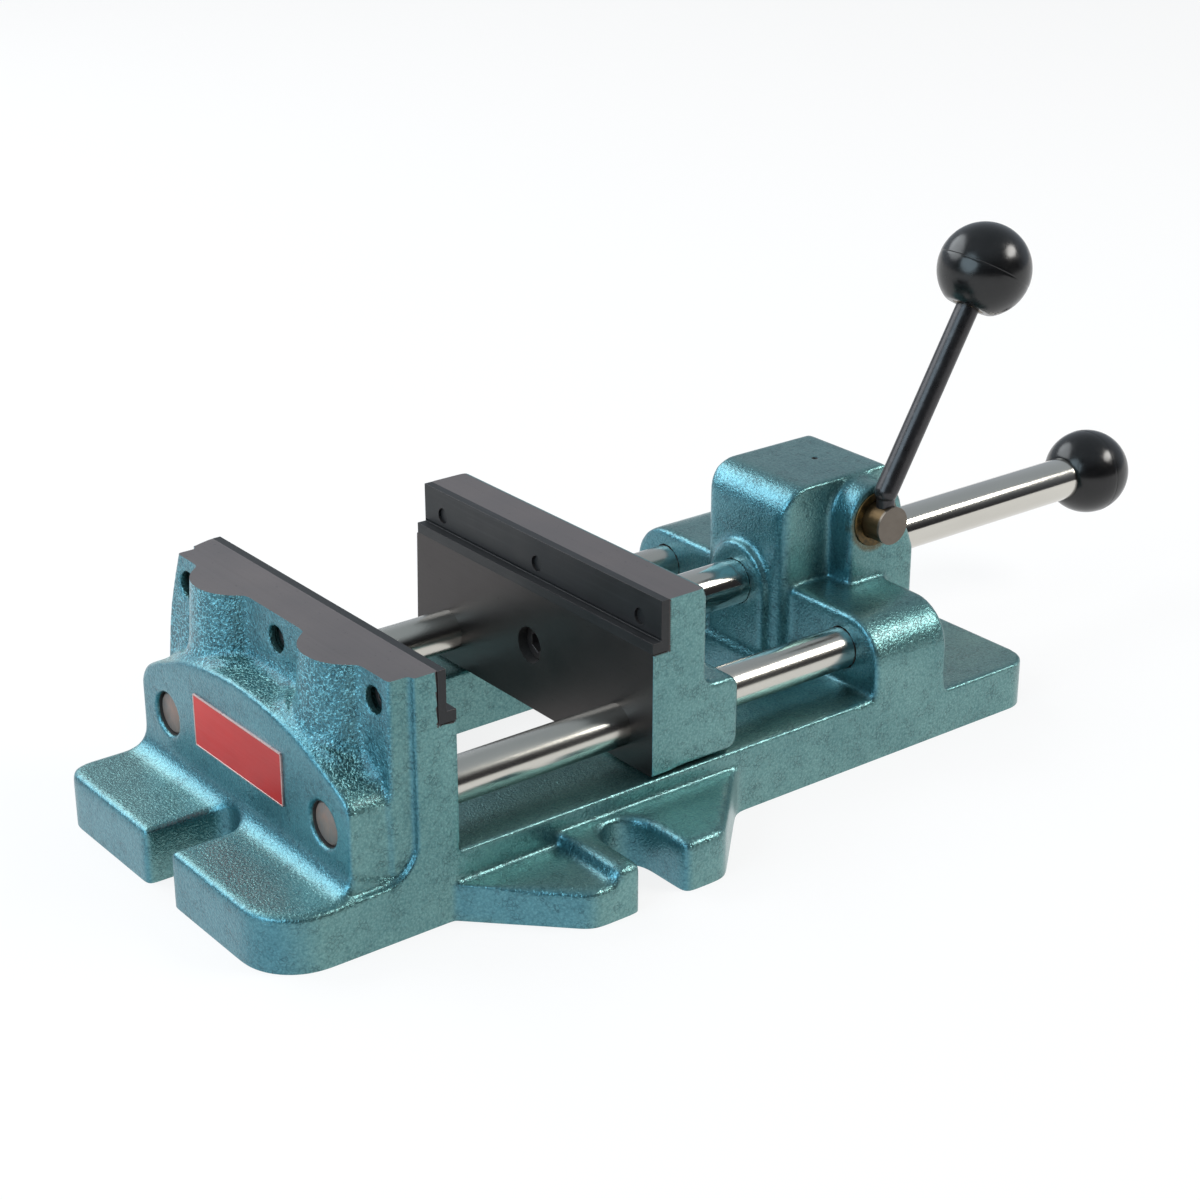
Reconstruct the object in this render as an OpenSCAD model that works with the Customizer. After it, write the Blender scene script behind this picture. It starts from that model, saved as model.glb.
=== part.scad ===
// Drill press vise with a cam lever, in millimetres, +Z up.
// The origin lies on the table, midway across, under the fixed jaw's face. +X runs from the fixed jaw
// to the plunger's knob, and the lever is on the -Y side. The jaw stands open and the lever is released.

/* [Jaws] */
// Width of both jaws
jaw_w = 152.4; // [140:0.1:190]
// Height of the jaw tops above the table
jaw_top = 98.4; // [92:0.1:115]
// Opening between the jaw faces, as drawn
opening = 86.3; // [10:0.1:150]
// Widest opening between the jaw faces
opening_max = 157.2; // [152:0.1:190]
// Thickness of the fixed jaw behind its face
fixed_jaw_t = 25.3; // [24:0.1:32]
// Thickness of the moving jaw's upright slab
moving_jaw_t = 25.7; // [22:0.1:29]
// Length of the moving jaw's lugs along the guide rods
lug_l = 41.8; // [36:0.1:60]
// Height of the lugs' tops above the table
lug_top = 58.5; // [54:0.1:70]
// Width of each lug
lug_w = 38; // [34:0.5:44]
// Length of the moving jaw's hub round the plunger
hub_l = 32; // [28:0.1:36]
// Diameter of that hub
hub_d = 34; // [26:0.5:40]
// How much the far end of the moving jaw widens towards its bottom
jaw_draft = 2.4; // [0:0.1:4]
// Gap between the moving jaw and the rails
jaw_lift = 1.3; // [0.5:0.1:2]

/* [Step inserts] */
// Height of the hardened inserts
insert_h = 20.2; // [17:0.1:24]
// Thickness of an insert's upright leaf
insert_t = 3.4; // [2.5:0.1:5]
// Depth of an insert's ledge, from its seat to the jaw face
ledge_d = 7.3; // [6:0.1:9]
// Height of an insert's ledge
ledge_h = 4.2; // [3:0.1:6]
// Diameter of the insert screws
screw_d = 6.35; // [5:0.05:8]
// Diameter of their heads
screw_head_d = 9.5; // [8.5:0.1:10]
// Height of their heads
screw_head_h = 6.35; // [5:0.05:7]
// Diameter of their counterbores
screw_bore_d = 11.6; // [10.5:0.1:13]
// From the jaw's end to the outer screws
screw_inset = 12.7; // [11:0.1:14]
// From the jaw's top down to the screws
screw_drop = 10.2; // [8:0.1:12]
// Depth of the fixed jaw's screw counterbores
fixed_bore_depth = 10.3; // [8:0.1:12]
// Depth of the moving jaw's screw counterbores
moving_bore_depth = 8; // [7:0.1:9]

/* [Guide rods] */
// Diameter of the guide rods
rod_d = 17; // [14:0.1:18]
// From the jaw's side to a rod's axis
rod_inset = 21.1; // [18:0.1:23]
// Height of the rods' axes above the table
rod_z = 42.3; // [39:0.1:44]
// How far the rods' front ends lie inside the boss
rod_recess = 2; // [1.5:0.1:6]
// Width of the bevel at the rods' front holes
rod_hole_bevel = 1; // [0.3:0.1:1.5]
// How far the rods reach into the rear pedestals
rod_hold = 34; // [26:0.5:36]
// Diameter of the set screws that hold the rods
set_screw_d = 7.9; // [5:0.1:10]
// Length of the set screws
set_screw_l = 14; // [8:0.5:20]
// From the boss's face to the set screws
set_screw_back = 12.7; // [10:0.1:16]

/* [Plunger] */
// Diameter of the plunger rod
plunger_d = 19.05; // [16:0.05:19.5]
// Height of the plunger's axis above the table
plunger_z = 55.1; // [53:0.1:58]
// From the moving jaw's face to the knob
plunger_reach = 301.5; // [290:0.5:330]
// From the moving jaw's face to the plunger's front end
plunger_seat = 20; // [18:0.1:22]
// Diameter of the plunger's screw
plunger_screw_d = 9.525; // [8:0.1:10]
// Diameter of its head
plunger_head_d = 14.3; // [13:0.1:15]
// Height of its head
plunger_head_h = 9.5; // [7:0.1:10]
// Thickness of its lock washer
washer_t = 2.2; // [1.5:0.1:2.5]
// How far the washer's seat lies behind the jaw face
washer_seat = 15.7; // [15:0.1:17]
// How far the screw reaches into the plunger
plunger_screw_hold = 20; // [14:0.5:30]
// Diameter of the ball knobs
knob_d = 38.1; // [32:0.1:40]
// Diameter of the flat at a ball knob's mouth
knob_flat_d = 20; // [19.6:0.1:24]
// Diameter of the plunger's threaded stud in its knob
stud_d = 9.525; // [8:0.1:10]
// Diameter of the threaded inserts in the knobs
knob_insert_d = 13; // [12:0.1:15]
// Length of the threaded inserts in the knobs
knob_insert_l = 15; // [12:0.5:18]

/* [Base] */
// How far the foot reaches in front of the fixed jaw's face
front_reach = 76.5; // [70:0.5:90]
// How far the rear flange reaches behind the pedestals
rear_reach = 51; // [36:0.5:60]
// Thickness of the front flange
front_t = 22; // [18:0.1:24]
// Thickness of the ears and of the rear flange
foot_t = 19.8; // [16:0.1:24]
// Corner radius at the front, on the lever's side
front_r_near = 22; // [8:0.5:30]
// Corner radius at the front, on the far side
front_r_far = 9; // [5:0.5:30]
// Corner radius at the rear
rear_r = 12; // [4:0.5:24]
// Height of the rails' tops above the table
rail_top = 27; // [25:0.1:29]
// Width of each rail
rail_w = 29; // [26:0.1:34]
// From the fixed jaw's face to the window between the rails
window_x = 14; // [10:0.5:30]
// Wall between the window and the rear housing's front
window_wall = 6; // [3:0.5:12]
// Corner radius of the window
window_r = 10; // [4:0.5:16]
// Width of the front bolt slot
front_slot_w = 18; // [12:0.1:22]
// Depth of the front bolt slot
front_slot_depth = 32.5; // [24:0.5:34]
// Sideways place of the front bolt slot
front_slot_y = 3.5; // [-6:0.5:6]

/* [Ears] */
// How far the ears reach beside the base
ear_reach = 35.3; // [30:0.1:45]
// Where an ear's slanted front edge leaves the base
ear_front = -3; // [-10:0.5:4]
// Where the raised pad of an ear begins
pad_front = 43; // [38:0.5:50]
// Where an ear's slanted rear edge meets the base
ear_rear = 127.8; // [120:0.1:140]
// Corner radius of the ears
ear_r = 8; // [4:0.5:12]
// Radius between an ear and the base
ear_fillet = 10; // [4:0.5:16]
// Height of the lower web in front of the pad
ear_web_t = 14.6; // [10:0.1:15.5]
// Middle of the ears' bolt slots
ear_slot_x = 63.8; // [60:0.1:68]
// Width of the ears' bolt slots
ear_slot_w = 20.3; // [12:0.1:24]
// Depth of the ears' bolt slots from the ear's edge
ear_slot_depth = 31.5; // [20:0.1:33]

/* [Fixed jaw and front boss] */
// Depth of the full-width cheeks behind the jaw face
cheek_t = 17; // [14:0.5:22]
// How far the front is set in behind the cheeks
cheek_step = 2.7; // [1:0.1:5]
// Radius between the cheeks and the flange
cheek_fillet = 14; // [4:0.5:20]
// How much the far end of the front narrows towards the jaw's top
front_draft = 6.3; // [0:0.1:8]
// Height above the table where that narrowing begins
front_draft_z = 77.5; // [60:0.5:85]
// Reach of the front boss from the jaw face
boss_reach = 42.5; // [40:0.1:48]
// Height of the boss's arched top, at its middle
boss_top = 74.5; // [70:0.1:80]
// Radius of the boss's arch
boss_arch_r = 147; // [135:1:200]
// Radius of the boss's upper corners
boss_corner_r = 12; // [6:0.5:16]
// How far the boss's far end is set in behind the cheeks
boss_far_step = 1.2; // [0.5:0.1:4]
// Radius between the boss and the jaw above it
boss_cove_r = 8; // [4:0.5:9]
// Radius between the boss and the flange
boss_fillet = 9; // [4:0.5:14]
// Radius of the two upright bulges
bulge_r = 19.8; // [17:0.1:22]
// Reach of the bulges from the jaw face
bulge_reach = 35.8; // [32:0.1:38]
// How far the bulges stand outside the middle between the screws
bulge_shift = 6; // [3:0.1:9]
// Width of the nameplate
plate_w = 62.5; // [40:0.5:80]
// Height of the nameplate
plate_h = 21.2; // [12:0.1:24]
// Sideways place of the nameplate's middle
plate_y = 1.3; // [-6:0.1:6]
// Height of the nameplate's middle above the table
plate_z = 49.3; // [46:0.1:54]
// Thickness of the nameplate
plate_t = 0.8; // [0.5:0.1:2]

/* [Rear housing] */
// Length of the pedestals along the rods
ped_l = 39.5; // [38:0.5:60]
// Height of the pedestals
ped_top = 57.5; // [54:0.1:62]
// Radius of the pedestals' outer edges
ped_r = 19; // [8:0.5:22]
// Height of the housing
house_top = 99.5; // [98:0.1:112]
// Length of the housing along the rods
house_l = 57.7; // [57:0.1:70]
// Width of the housing
house_w = 48; // [44:0.5:56]
// Radius of the housing's upper front edge
house_r = 14; // [4:0.5:18]
// Radius of the housing's upright front edges
house_edge_r = 5; // [2:0.5:8]
// How far the plunger's boss stands out of the housing
plunger_boss_h = 4; // [2:0.1:6]
// Radius of the plunger's boss
plunger_boss_r = 17; // [14:0.5:20]
// Thickness of the housing's front wall
front_wall = 9; // [7:0.1:10]
// Thickness of the housing's rear wall
rear_wall = 9.2; // [7:0.1:10]
// Width of the housing's cavity
cavity_w = 27; // [26:0.1:30]
// Thickness of the housing's roof
roof_t = 5.5; // [3:0.1:6]
// Diameter of the oil hole in the roof
oil_hole_d = 2.6; // [1.5:0.1:4]
// Radius of the cam boss on the housing's side
cam_boss_r = 14.4; // [13.5:0.1:15]
// How far the cam boss's rear side flares out towards its foot
cam_boss_flare = 8; // [2:0.1:12]
// Height of that flare below the cam's axis
cam_boss_flare_h = 18; // [12:0.5:24]
// How far the cam boss stands behind the cam's axis
cam_boss_shift = 1.3; // [0:0.1:2]
// From the housing's middle to the cam boss's face
cam_face = 37; // [33:0.1:42]

/* [Cam and lever] */
// From the housing's front to the cam's axis
cam_set = 38.5; // [38:0.1:39.5]
// Height of the cam's axis above the table
cam_z = 83.8; // [82:0.1:85]
// Diameter of the cam shaft
cam_d = 15.875; // [15:0.125:17]
// Radius of the cam's eccentric middle
cam_r = 6; // [5.5:0.1:6]
// How far the eccentric lies off the shaft's axis
cam_throw = 1.9; // [1:0.1:1.9]
// Lever angle from released to locked
lever_swing = 75; // [40:1:90]
// Wall of the cam shaft's bushes
bush_wall = 2; // [1.5:0.1:2.5]
// Thickness of the near bush's flange
bush_flange_t = 0.8; // [0.5:0.1:1]
// Width of the near bush's flange beyond its wall
bush_flange_w = 1.4; // [0.4:0.1:1.5]
// From the cam boss's face to the lever
lever_off = 5.6; // [5.4:0.1:8]
// How far the cam shaft reaches past the lever
shaft_over = 4.8; // [4.6:0.1:8]
// How far the cam shaft stands out on the far side
shaft_tail = 4; // [3.5:0.1:6]
// Thickness of the retaining ring
ring_t = 1.1; // [0.8:0.1:1.5]
// Diameter of the lever rod
lever_d = 9.5; // [8:0.1:10]
// Diameter of the lever's threaded stub in the cam shaft
lever_stub_d = 7.5; // [6:0.1:8]
// Height of the lever's bend above the cam's axis
lever_bend_h = 13.5; // [12.5:0.1:18]
// Angle of the lever rod from upright, as drawn
lever_lean = 30.3; // [0:0.1:45]
// From the lever's bend to the middle of its knob
lever_l = 96.8; // [70:0.1:130]

/* [Lock] */
// Thickness of each lock plate
lock_t = 6.4; // [5:0.1:6.6]
// Width of the lock plates
lock_w = 24.8; // [24:0.1:25.4]
// Free space above the lock plates
lock_head_gap = 3; // [1:0.1:5]
// Gap between the lock plates and the cam at rest
lock_gap = 0.35; // [0.25:0.05:0.5]
// Free space round the plunger in the lock plates
lock_clear = 0.7; // [0.6:0.05:1]
// Thickness of the keeper plate
keeper_t = 5; // [4:0.1:6]
// How far the keeper plate laps the casting at each end
keeper_lap = 9.5; // [9:0.1:10]
// Height of the lips that hold the lock plates' feet
keeper_lip_h = 8; // [6:0.1:10]
// Thickness of those lips
keeper_lip_t = 4; // [3:0.1:5]
// Diameter of the keeper's screws
keeper_screw_d = 4.8; // [4:0.1:5]
// From the cavity's side to the keeper's screws
keeper_screw_in = 6.7; // [5.5:0.1:7]
// Length of the keeper's screws under their heads
keeper_screw_l = 12; // [8:0.5:16]
// Wire diameter of the return spring
spring_wire = 1.8; // [1.2:0.1:1.8]
// Free space between the spring and the plunger
spring_clear = 0.95; // [0.8:0.05:1]
// Turns of the return spring
spring_turns = 3.5; // [2.5:0.5:3.5]

/* [Clearances] */
// Radial clearance of shafts that turn or slide
run_fit = 0.05; // [0.02:0.01:0.1]
// Radial clearance of pieces held fast in their holes
hold_fit = 0.02; // [0.01:0.01:0.05]
// Gap between the pedestals and the lugs at the widest opening
stop_gap = 1; // [0.5:0.1:2]
// Gap between the plunger's boss and the hub at the widest opening
hub_gap = 1.8; // [0.5:0.1:4]
// Free gap between pieces that move past each other
free_gap = 0.3; // [0.2:0.05:0.5]

/* [Hidden] */
$fn = 64;

// Colours
PAINT = [0.33, 0.55, 0.58];
STEEL = [0.72, 0.72, 0.74];
DARK_STEEL = [0.22, 0.21, 0.21];
BLACK = [0.06, 0.06, 0.06];
BRONZE = [0.45, 0.34, 0.2];
RED = [0.7, 0.16, 0.15];

// How far a cut runs past the faces it opens, and how far joined blocks run into each other
over = 1;
sink = 2;

// Jaws
half_w = jaw_w / 2;
jaw_bottom = rail_top + jaw_lift;
insert_z = jaw_top - insert_h;
screw_y = half_w - screw_inset;
screw_z = jaw_top - screw_drop;
SCREW_YS = [-screw_y, 0, screw_y];
cap_socket_share = 0.9;
set_socket_share = 0.5;
socket_depth_share = 0.5;
slab_edge_r = 2;
lug_edge_r = 4;

// Rods and plunger
rod_r = rod_d / 2;
rod_y = half_w - rod_inset;
set_screw_x = -boss_reach + set_screw_back;
plunger_r = plunger_d / 2;
knob_r = knob_d / 2;
knob_seat = sqrt(knob_r * knob_r - knob_flat_d * knob_flat_d / 4);
knob_hole_end = 1;
knob_hole_l = knob_insert_l + knob_hole_end;

// Base, along X
plunger_boss_x = opening_max + hub_l + hub_gap;
house_x = plunger_boss_x + plunger_boss_h;
ped_x = opening_max + lug_l + stop_gap;
ped_end = ped_x + ped_l;
rear_x = ped_end + rear_reach;
house_end = house_x + house_l;
window_end = plunger_boss_x - window_wall + plunger_boss_h;
rod_end = ped_x + rod_hold;
front_half = half_w - cheek_step;
bulge_y = screw_y / 2 + bulge_shift;
boss_back = fixed_jaw_t - sink;
boss_arch_z = boss_top - boss_arch_r;
bulge_foot_z = boss_arch_z + sqrt(boss_arch_r * boss_arch_r - bulge_y * bulge_y);
bulge_foot_tilt = asin(bulge_y / boss_arch_r);
cove_bite = 0.6;
cove_end = boss_corner_r / 2;
rib_half = 6;
pocket_wall = 8;
pocket_front_wall = 6.5;
pocket_top = 58;
rear_pocket_top = 24;

// Cam
cam_x = house_x + cam_set;
cam_shaft_r = cam_d / 2;
cam_angle = -90 + lever_swing / 2;
cam_off_x = cam_throw * cos(cam_angle);
cam_off_z = cam_throw * sin(cam_angle);
cavity_half = cavity_w / 2;
cavity_x = house_x + front_wall;
cavity_end = house_end - rear_wall;
bush_r = cam_shaft_r + run_fit + bush_wall;
lever_y = -(cam_face + lever_off);
shaft_near = lever_y - shaft_over;
shaft_far = house_w / 2 + shaft_tail;
cam_boss_x = cam_x + cam_boss_shift;
eccentric_half = cavity_half - free_gap;
ring_groove = 1.3;
ring_gap = 0.6;
lever_knob_at = lever_l - knob_seat;

// Lock
lock_rear = cam_x + cam_off_x - cam_r - lock_gap;
lock_mid = lock_rear - lock_t;
lock_front = lock_mid - lock_t;
keeper_z = 1;
keeper_top = keeper_z + keeper_t;
foot_z = keeper_top + free_gap + lock_t;
lock_top = house_top - roof_t - lock_head_gap;
keeper_x = cavity_x - keeper_lap;
keeper_end = cavity_end + keeper_lap;
KEEPER_SCREWS = [for (x = [keeper_x + keeper_lap / 2, keeper_end - keeper_lap / 2], y = [-1, 1])
  [x, y * (cavity_half - keeper_screw_in)]];
keeper_head_d = 8.4;
keeper_head_h = 2.6;

// Return spring: points along the coil, which runs along X
spring_r = plunger_r + spring_clear + spring_wire / 2;
spring_from = cavity_x + free_gap + spring_wire / 2;
spring_to = lock_front - free_gap - spring_wire / 2;
SPRING_RINGS = 16;
SPRING_SIDES = 6;
spring_n = SPRING_RINGS * spring_turns;
function spring_point(i) = [
  spring_from + (spring_to - spring_from) * i / spring_n,
  spring_r * cos(360 * i / SPRING_RINGS),
  plunger_z + spring_r * sin(360 * i / SPRING_RINGS)
];
spring_gap = min([for (i = [0:spring_n], j = [i + SPRING_RINGS / 2:1:spring_n])
  norm(spring_point(i) - spring_point(j))]) - spring_wire;
echo(return_spring_least_gap = spring_gap);

// Points of an arc about c, from angle a to angle b
function arc(c, r, a, b, n = 8) = [for (i = [0:n])
  let (t = a + (b - a) * i / n) [c[0] + r * cos(t), c[1] + r * sin(t)]];

// Centre of the boss's corner whose side lies at y, and where that corner meets the arch
function boss_corner(y) = let (c = abs(y) - boss_corner_r, a = boss_arch_r - boss_corner_r)
  [sign(y) * c, boss_arch_z + sqrt(a * a - c * c)];
function boss_corner_angle(y) = let (c = boss_corner(y)) atan2(c[1] - boss_arch_z, c[0]);
BOSS_STEPS = 24;
BOSS_OUTLINE = let (far = half_w - boss_far_step, near = -front_half,
    a = boss_corner_angle(far), b = boss_corner_angle(near)) concat(
  [[far, 0]],
  arc(boss_corner(far), boss_corner_r, 0, a),
  [for (i = [1:BOSS_STEPS - 1]) let (t = a + (b - a) * i / BOSS_STEPS)
    [boss_arch_r * cos(t), boss_arch_z + boss_arch_r * sin(t)]],
  arc(boss_corner(near), boss_corner_r, b, 180),
  [[near, 0]]);

// Edge of the foot on the +Y side, from front to rear, with the front corner's radius r
function foot_edge(r) = concat(
  arc([-front_reach + r, half_w - r], r, 180, 90),
  [[ear_front, half_w]],
  arc([ear_front + ear_reach + (sqrt(2) - 1) * ear_r, half_w + ear_reach - ear_r], ear_r, 135, 90, 4),
  arc([ear_rear - ear_reach - (sqrt(2) - 1) * ear_r, half_w + ear_reach - ear_r], ear_r, 90, 45, 4),
  arc([ear_rear + (sqrt(2) - 1) * ear_fillet, half_w + ear_fillet], ear_fillet, 225, 270, 4),
  arc([rear_x - rear_r, half_w - rear_r], rear_r, 90, 0));

// The same edge on the -Y side, from rear to front
function mirrored(points) = [for (i = [len(points) - 1:-1:0]) [points[i][0], -points[i][1]]];

// Lay a profile drawn in Y and Z along +X, from x0 to x1
module along_x(x0, x1) {
  translate([x0, 0, 0]) rotate([90, 0, 90]) linear_extrude(x1 - x0) children();
}

// Lay a profile drawn in X and Z along Y, from y0 to y1
module along_y(y0, y1) {
  translate([0, y1, 0]) rotate([90, 0, 0]) linear_extrude(y1 - y0) children();
}

// Round bar along +X, +Y
module bar_x(r, x0, x1) {
  translate([x0, 0, 0]) rotate([0, 90, 0]) cylinder(r = r, h = x1 - x0);
}
module bar_y(r, y0, y1) {
  translate([0, y0, 0]) rotate([-90, 0, 0]) cylinder(r = r, h = y1 - y0);
}

// Box from corner a to corner b
module box(a, b) {
  translate(a) cube(b - a);
}

// Flat rectangle with rounded corners, from corner a to corner b
module round_rect(a, b, r) {
  translate([a[0] + r, a[1]]) square([b[0] - a[0] - 2 * r, b[1] - a[1]]);
  translate([a[0], a[1] + r]) square([b[0] - a[0], b[1] - a[1] - 2 * r]);
  for (x = [a[0] + r, b[0] - r], y = [a[1] + r, b[1] - r]) translate([x, y]) circle(r);
}

// What a radius r takes off a square corner at the origin whose sides run along -X and -Y
module corner_waste(r) {
  translate([-r, -r]) difference() {
    square(r + over);
    circle(r);
  }
}

// Concave fillet in the corner at the origin whose walls run along -X and +Y
module cove(r) {
  translate([-r, 0]) difference() {
    square(r);
    translate([0, r]) circle(r);
  }
}

module foot_outline() {
  polygon(concat(foot_edge(front_r_far), mirrored(foot_edge(front_r_near))));
}

module foot_plate() {
  linear_extrude(foot_t) foot_outline();
  linear_extrude(front_t) intersection() {
    foot_outline();
    translate([-front_reach, -half_w]) square([front_reach, jaw_w]);
  }
}

module rails() {
  box([-sink, -half_w, 0], [ped_x + sink, half_w, rail_top]);
}

module fixed_jaw_block() {
  box([-cheek_t, -half_w, 0], [0, half_w, jaw_top]);
  along_x(-fixed_jaw_t, 0) polygon([[-front_half, 0], [half_w, 0], [half_w, front_draft_z],
    [half_w - front_draft, jaw_top], [-front_half, jaw_top]]);
  linear_extrude(jaw_top) intersection() {
    for (s = [-1, 1]) translate([bulge_r - bulge_reach, s * bulge_y]) circle(bulge_r);
    translate([-bulge_reach, -half_w]) square([bulge_reach - sink, jaw_w]);
  }
  along_y(-half_w, half_w) translate([-cheek_t, front_t]) cove(cheek_fillet);
}

// Ring whose concave side lies at r, bitten into both of the walls that it joins
module cove_ring(r) {
  rotate_extrude($fn = 128) difference() {
    translate([r - sink, -sink]) square(boss_cove_r - cove_bite + sink);
    translate([r + boss_cove_r - cove_bite, boss_cove_r - cove_bite]) circle(boss_cove_r);
  }
}

// Fillets between the boss's top, the jaw's front and the bulges
module boss_coves() {
  intersection() {
    union() {
      translate([-fixed_jaw_t, 0, boss_arch_z]) rotate([0, -90, 0]) cove_ring(boss_arch_r);
      for (s = [-1, 1])
        translate([bulge_r - bulge_reach, s * bulge_y, bulge_foot_z]) rotate([-s * bulge_foot_tilt, 0, 0])
          cove_ring(bulge_r);
    }
    box([-boss_reach, cove_end - front_half, foot_t], [-fixed_jaw_t + sink, front_half - cove_end, jaw_top]);
  }
}

module front_boss() {
  along_x(-boss_reach, -boss_back) polygon(BOSS_OUTLINE);
  boss_coves();
  along_y(-front_half, half_w - boss_far_step) translate([-boss_reach, front_t]) cove(boss_fillet);
}

module pedestals() {
  along_x(ped_x, ped_end) {
    translate([-half_w, 0]) square([jaw_w, ped_top - ped_r]);
    translate([-half_w + ped_r, 0]) square([jaw_w - 2 * ped_r, ped_top]);
    for (s = [-1, 1]) translate([s * (half_w - ped_r), ped_top - ped_r]) circle(ped_r);
  }
}

module housing() {
  intersection() {
    along_y(-house_w / 2, house_w / 2) difference() {
      translate([house_x, 0]) square([house_l, house_top]);
      translate([house_x, house_top]) mirror([1, 0]) corner_waste(house_r);
    }
    linear_extrude(house_top) difference() {
      translate([house_x, -house_w / 2]) square([house_l, house_w]);
      for (s = [0, 1]) mirror([0, s]) translate([house_x, house_w / 2]) mirror([1, 0])
        corner_waste(house_edge_r);
    }
  }
  along_y(-cam_face, -house_w / 2 + sink) {
    translate([cam_boss_x, cam_z]) circle(cam_boss_r);
    polygon([
      [cam_boss_x - cam_boss_r, cam_z],
      [cam_boss_x - cam_boss_r, foot_t - sink],
      [cam_boss_x + cam_boss_r + cam_boss_flare, foot_t - sink],
      [cam_boss_x + cam_boss_r + cam_boss_flare, cam_z - cam_boss_flare_h],
      [cam_boss_x + cam_boss_r, cam_z]
    ]);
  }
  along_x(plunger_boss_x, house_x + sink) {
    translate([0, plunger_z]) circle(plunger_boss_r);
    translate([-plunger_boss_r, 0]) square([2 * plunger_boss_r, plunger_z]);
  }
}

// Bolt slot along +Y from an inner end at the origin, w wide and l long to its open mouth
module bolt_slot(w, l, t) {
  translate([0, 0, -over]) linear_extrude(t + 2 * over) {
    translate([0, w / 2]) circle(d = w);
    translate([-w / 2, w / 2]) square([w, l - w / 2 + over]);
  }
}

module slots_and_window() {
  translate([0, 0, -over]) linear_extrude(rail_top + 2 * over)
    round_rect([window_x, rail_w - half_w], [window_end, half_w - rail_w], window_r);
  translate([-front_reach + front_slot_depth, front_slot_y, 0]) rotate([0, 0, 90])
    bolt_slot(front_slot_w, front_slot_depth, front_t + boss_fillet);
  for (s = [0, 1]) mirror([0, s, 0]) {
    translate([ear_slot_x, half_w + ear_reach - ear_slot_depth, 0])
      bolt_slot(ear_slot_w, ear_slot_depth, foot_t);
    box([ear_front - over, half_w, ear_web_t], [pad_front, half_w + ear_reach + over, foot_t + over]);
  }
}

module fixed_jaw_cuts() {
  box([-ledge_d, -half_w - over, insert_z], [over, half_w + over, jaw_top + over]);
  for (y = SCREW_YS) translate([0, y, screw_z]) {
    bar_x(screw_d / 2 + hold_fit, -fixed_jaw_t, 0);
    bar_x(screw_bore_d / 2, -boss_reach, -fixed_jaw_t + fixed_bore_depth);
  }
  for (s = [-1, 1]) translate([0, s * rod_y, 0]) {
    translate([-boss_reach, 0, rod_z]) rotate([0, 90, 0])
      cylinder(r1 = rod_r + rod_hole_bevel, r2 = rod_r + hold_fit, h = rod_hole_bevel);
    translate([set_screw_x, 0, -over])
      cylinder(d = set_screw_d + 2 * hold_fit, h = rod_z + over);
  }
  for (s = [0, 1]) mirror([0, s, 0])
    box([-boss_reach + pocket_front_wall, rib_half, -over],
        [-pocket_wall, rod_y - rod_r - set_screw_d / 2, pocket_top]);
}

module rod_bores() {
  for (s = [-1, 1]) translate([0, s * rod_y, rod_z])
    bar_x(rod_r + hold_fit, -boss_reach - over, rod_end + free_gap);
}

module housing_cuts() {
  translate([0, 0, plunger_z])
    bar_x(plunger_r + run_fit, plunger_boss_x - over, max(house_end, ped_end) + over);
  box([cavity_x, -cavity_half, -over], [cavity_end, cavity_half, house_top - roof_t]);
  box([keeper_x - free_gap, -cavity_half, -over], [keeper_end + free_gap, cavity_half, keeper_top]);
  for (p = KEEPER_SCREWS) translate(p)
    cylinder(d = keeper_screw_d + 2 * hold_fit, h = keeper_top + keeper_screw_l);
  translate([cam_x, 0, cam_z]) bar_y(bush_r + hold_fit, -cam_face - over, house_w / 2 + over);
  translate([cam_x, 0, house_top - roof_t - over]) cylinder(d = oil_hole_d, h = roof_t + 2 * over);
  for (s = [0, 1]) mirror([0, s, 0])
    box([ped_x + pocket_wall, house_w / 2 + rib_half, -over],
        [ped_end - rib_half, half_w - rib_half, rear_pocket_top]);
}

module base_casting() {
  color(PAINT) difference() {
    union() {
      foot_plate();
      rails();
      fixed_jaw_block();
      front_boss();
      pedestals();
      housing();
    }
    slots_and_window();
    fixed_jaw_cuts();
    rod_bores();
    housing_cuts();
  }
}

module nameplate() {
  color(RED) box([-boss_reach - plate_t, plate_y - plate_w / 2, plate_z - plate_h / 2],
                 [-boss_reach, plate_y + plate_w / 2, plate_z + plate_h / 2]);
}

// Step insert whose seat lies ledge_d behind a jaw face at X = 0, gripping towards +X
module step_insert() {
  color(DARK_STEEL) difference() {
    union() {
      box([-ledge_d, -half_w, insert_z], [-ledge_d + insert_t, half_w, jaw_top]);
      box([-ledge_d, -half_w, insert_z], [0, half_w, insert_z + ledge_h]);
    }
    for (y = SCREW_YS) translate([0, y, screw_z]) bar_x(screw_d / 2 + hold_fit, -ledge_d - over, over);
  }
}

// Socket-head screw along +X, with its head's underside at the origin
module cap_screw(d, head_d, head_h, l) {
  difference() {
    union() {
      bar_x(head_d / 2, -head_h, 0);
      bar_x(d / 2, -over, l);
    }
    translate([-head_h - over, 0, 0]) rotate([0, 90, 0])
      cylinder(d = d * cap_socket_share, h = head_h * socket_depth_share + over, $fn = 6);
  }
}

module fixed_jaw_screws() {
  seat = -fixed_jaw_t + fixed_bore_depth;
  color(DARK_STEEL) for (y = SCREW_YS) translate([seat, y, screw_z])
    cap_screw(screw_d, screw_head_d, screw_head_h, -ledge_d + insert_t - free_gap - seat);
}

module guide_rod(side) {
  color(STEEL) translate([0, side * rod_y, rod_z]) bar_x(rod_r, -boss_reach + rod_recess, rod_end);
}

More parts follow.
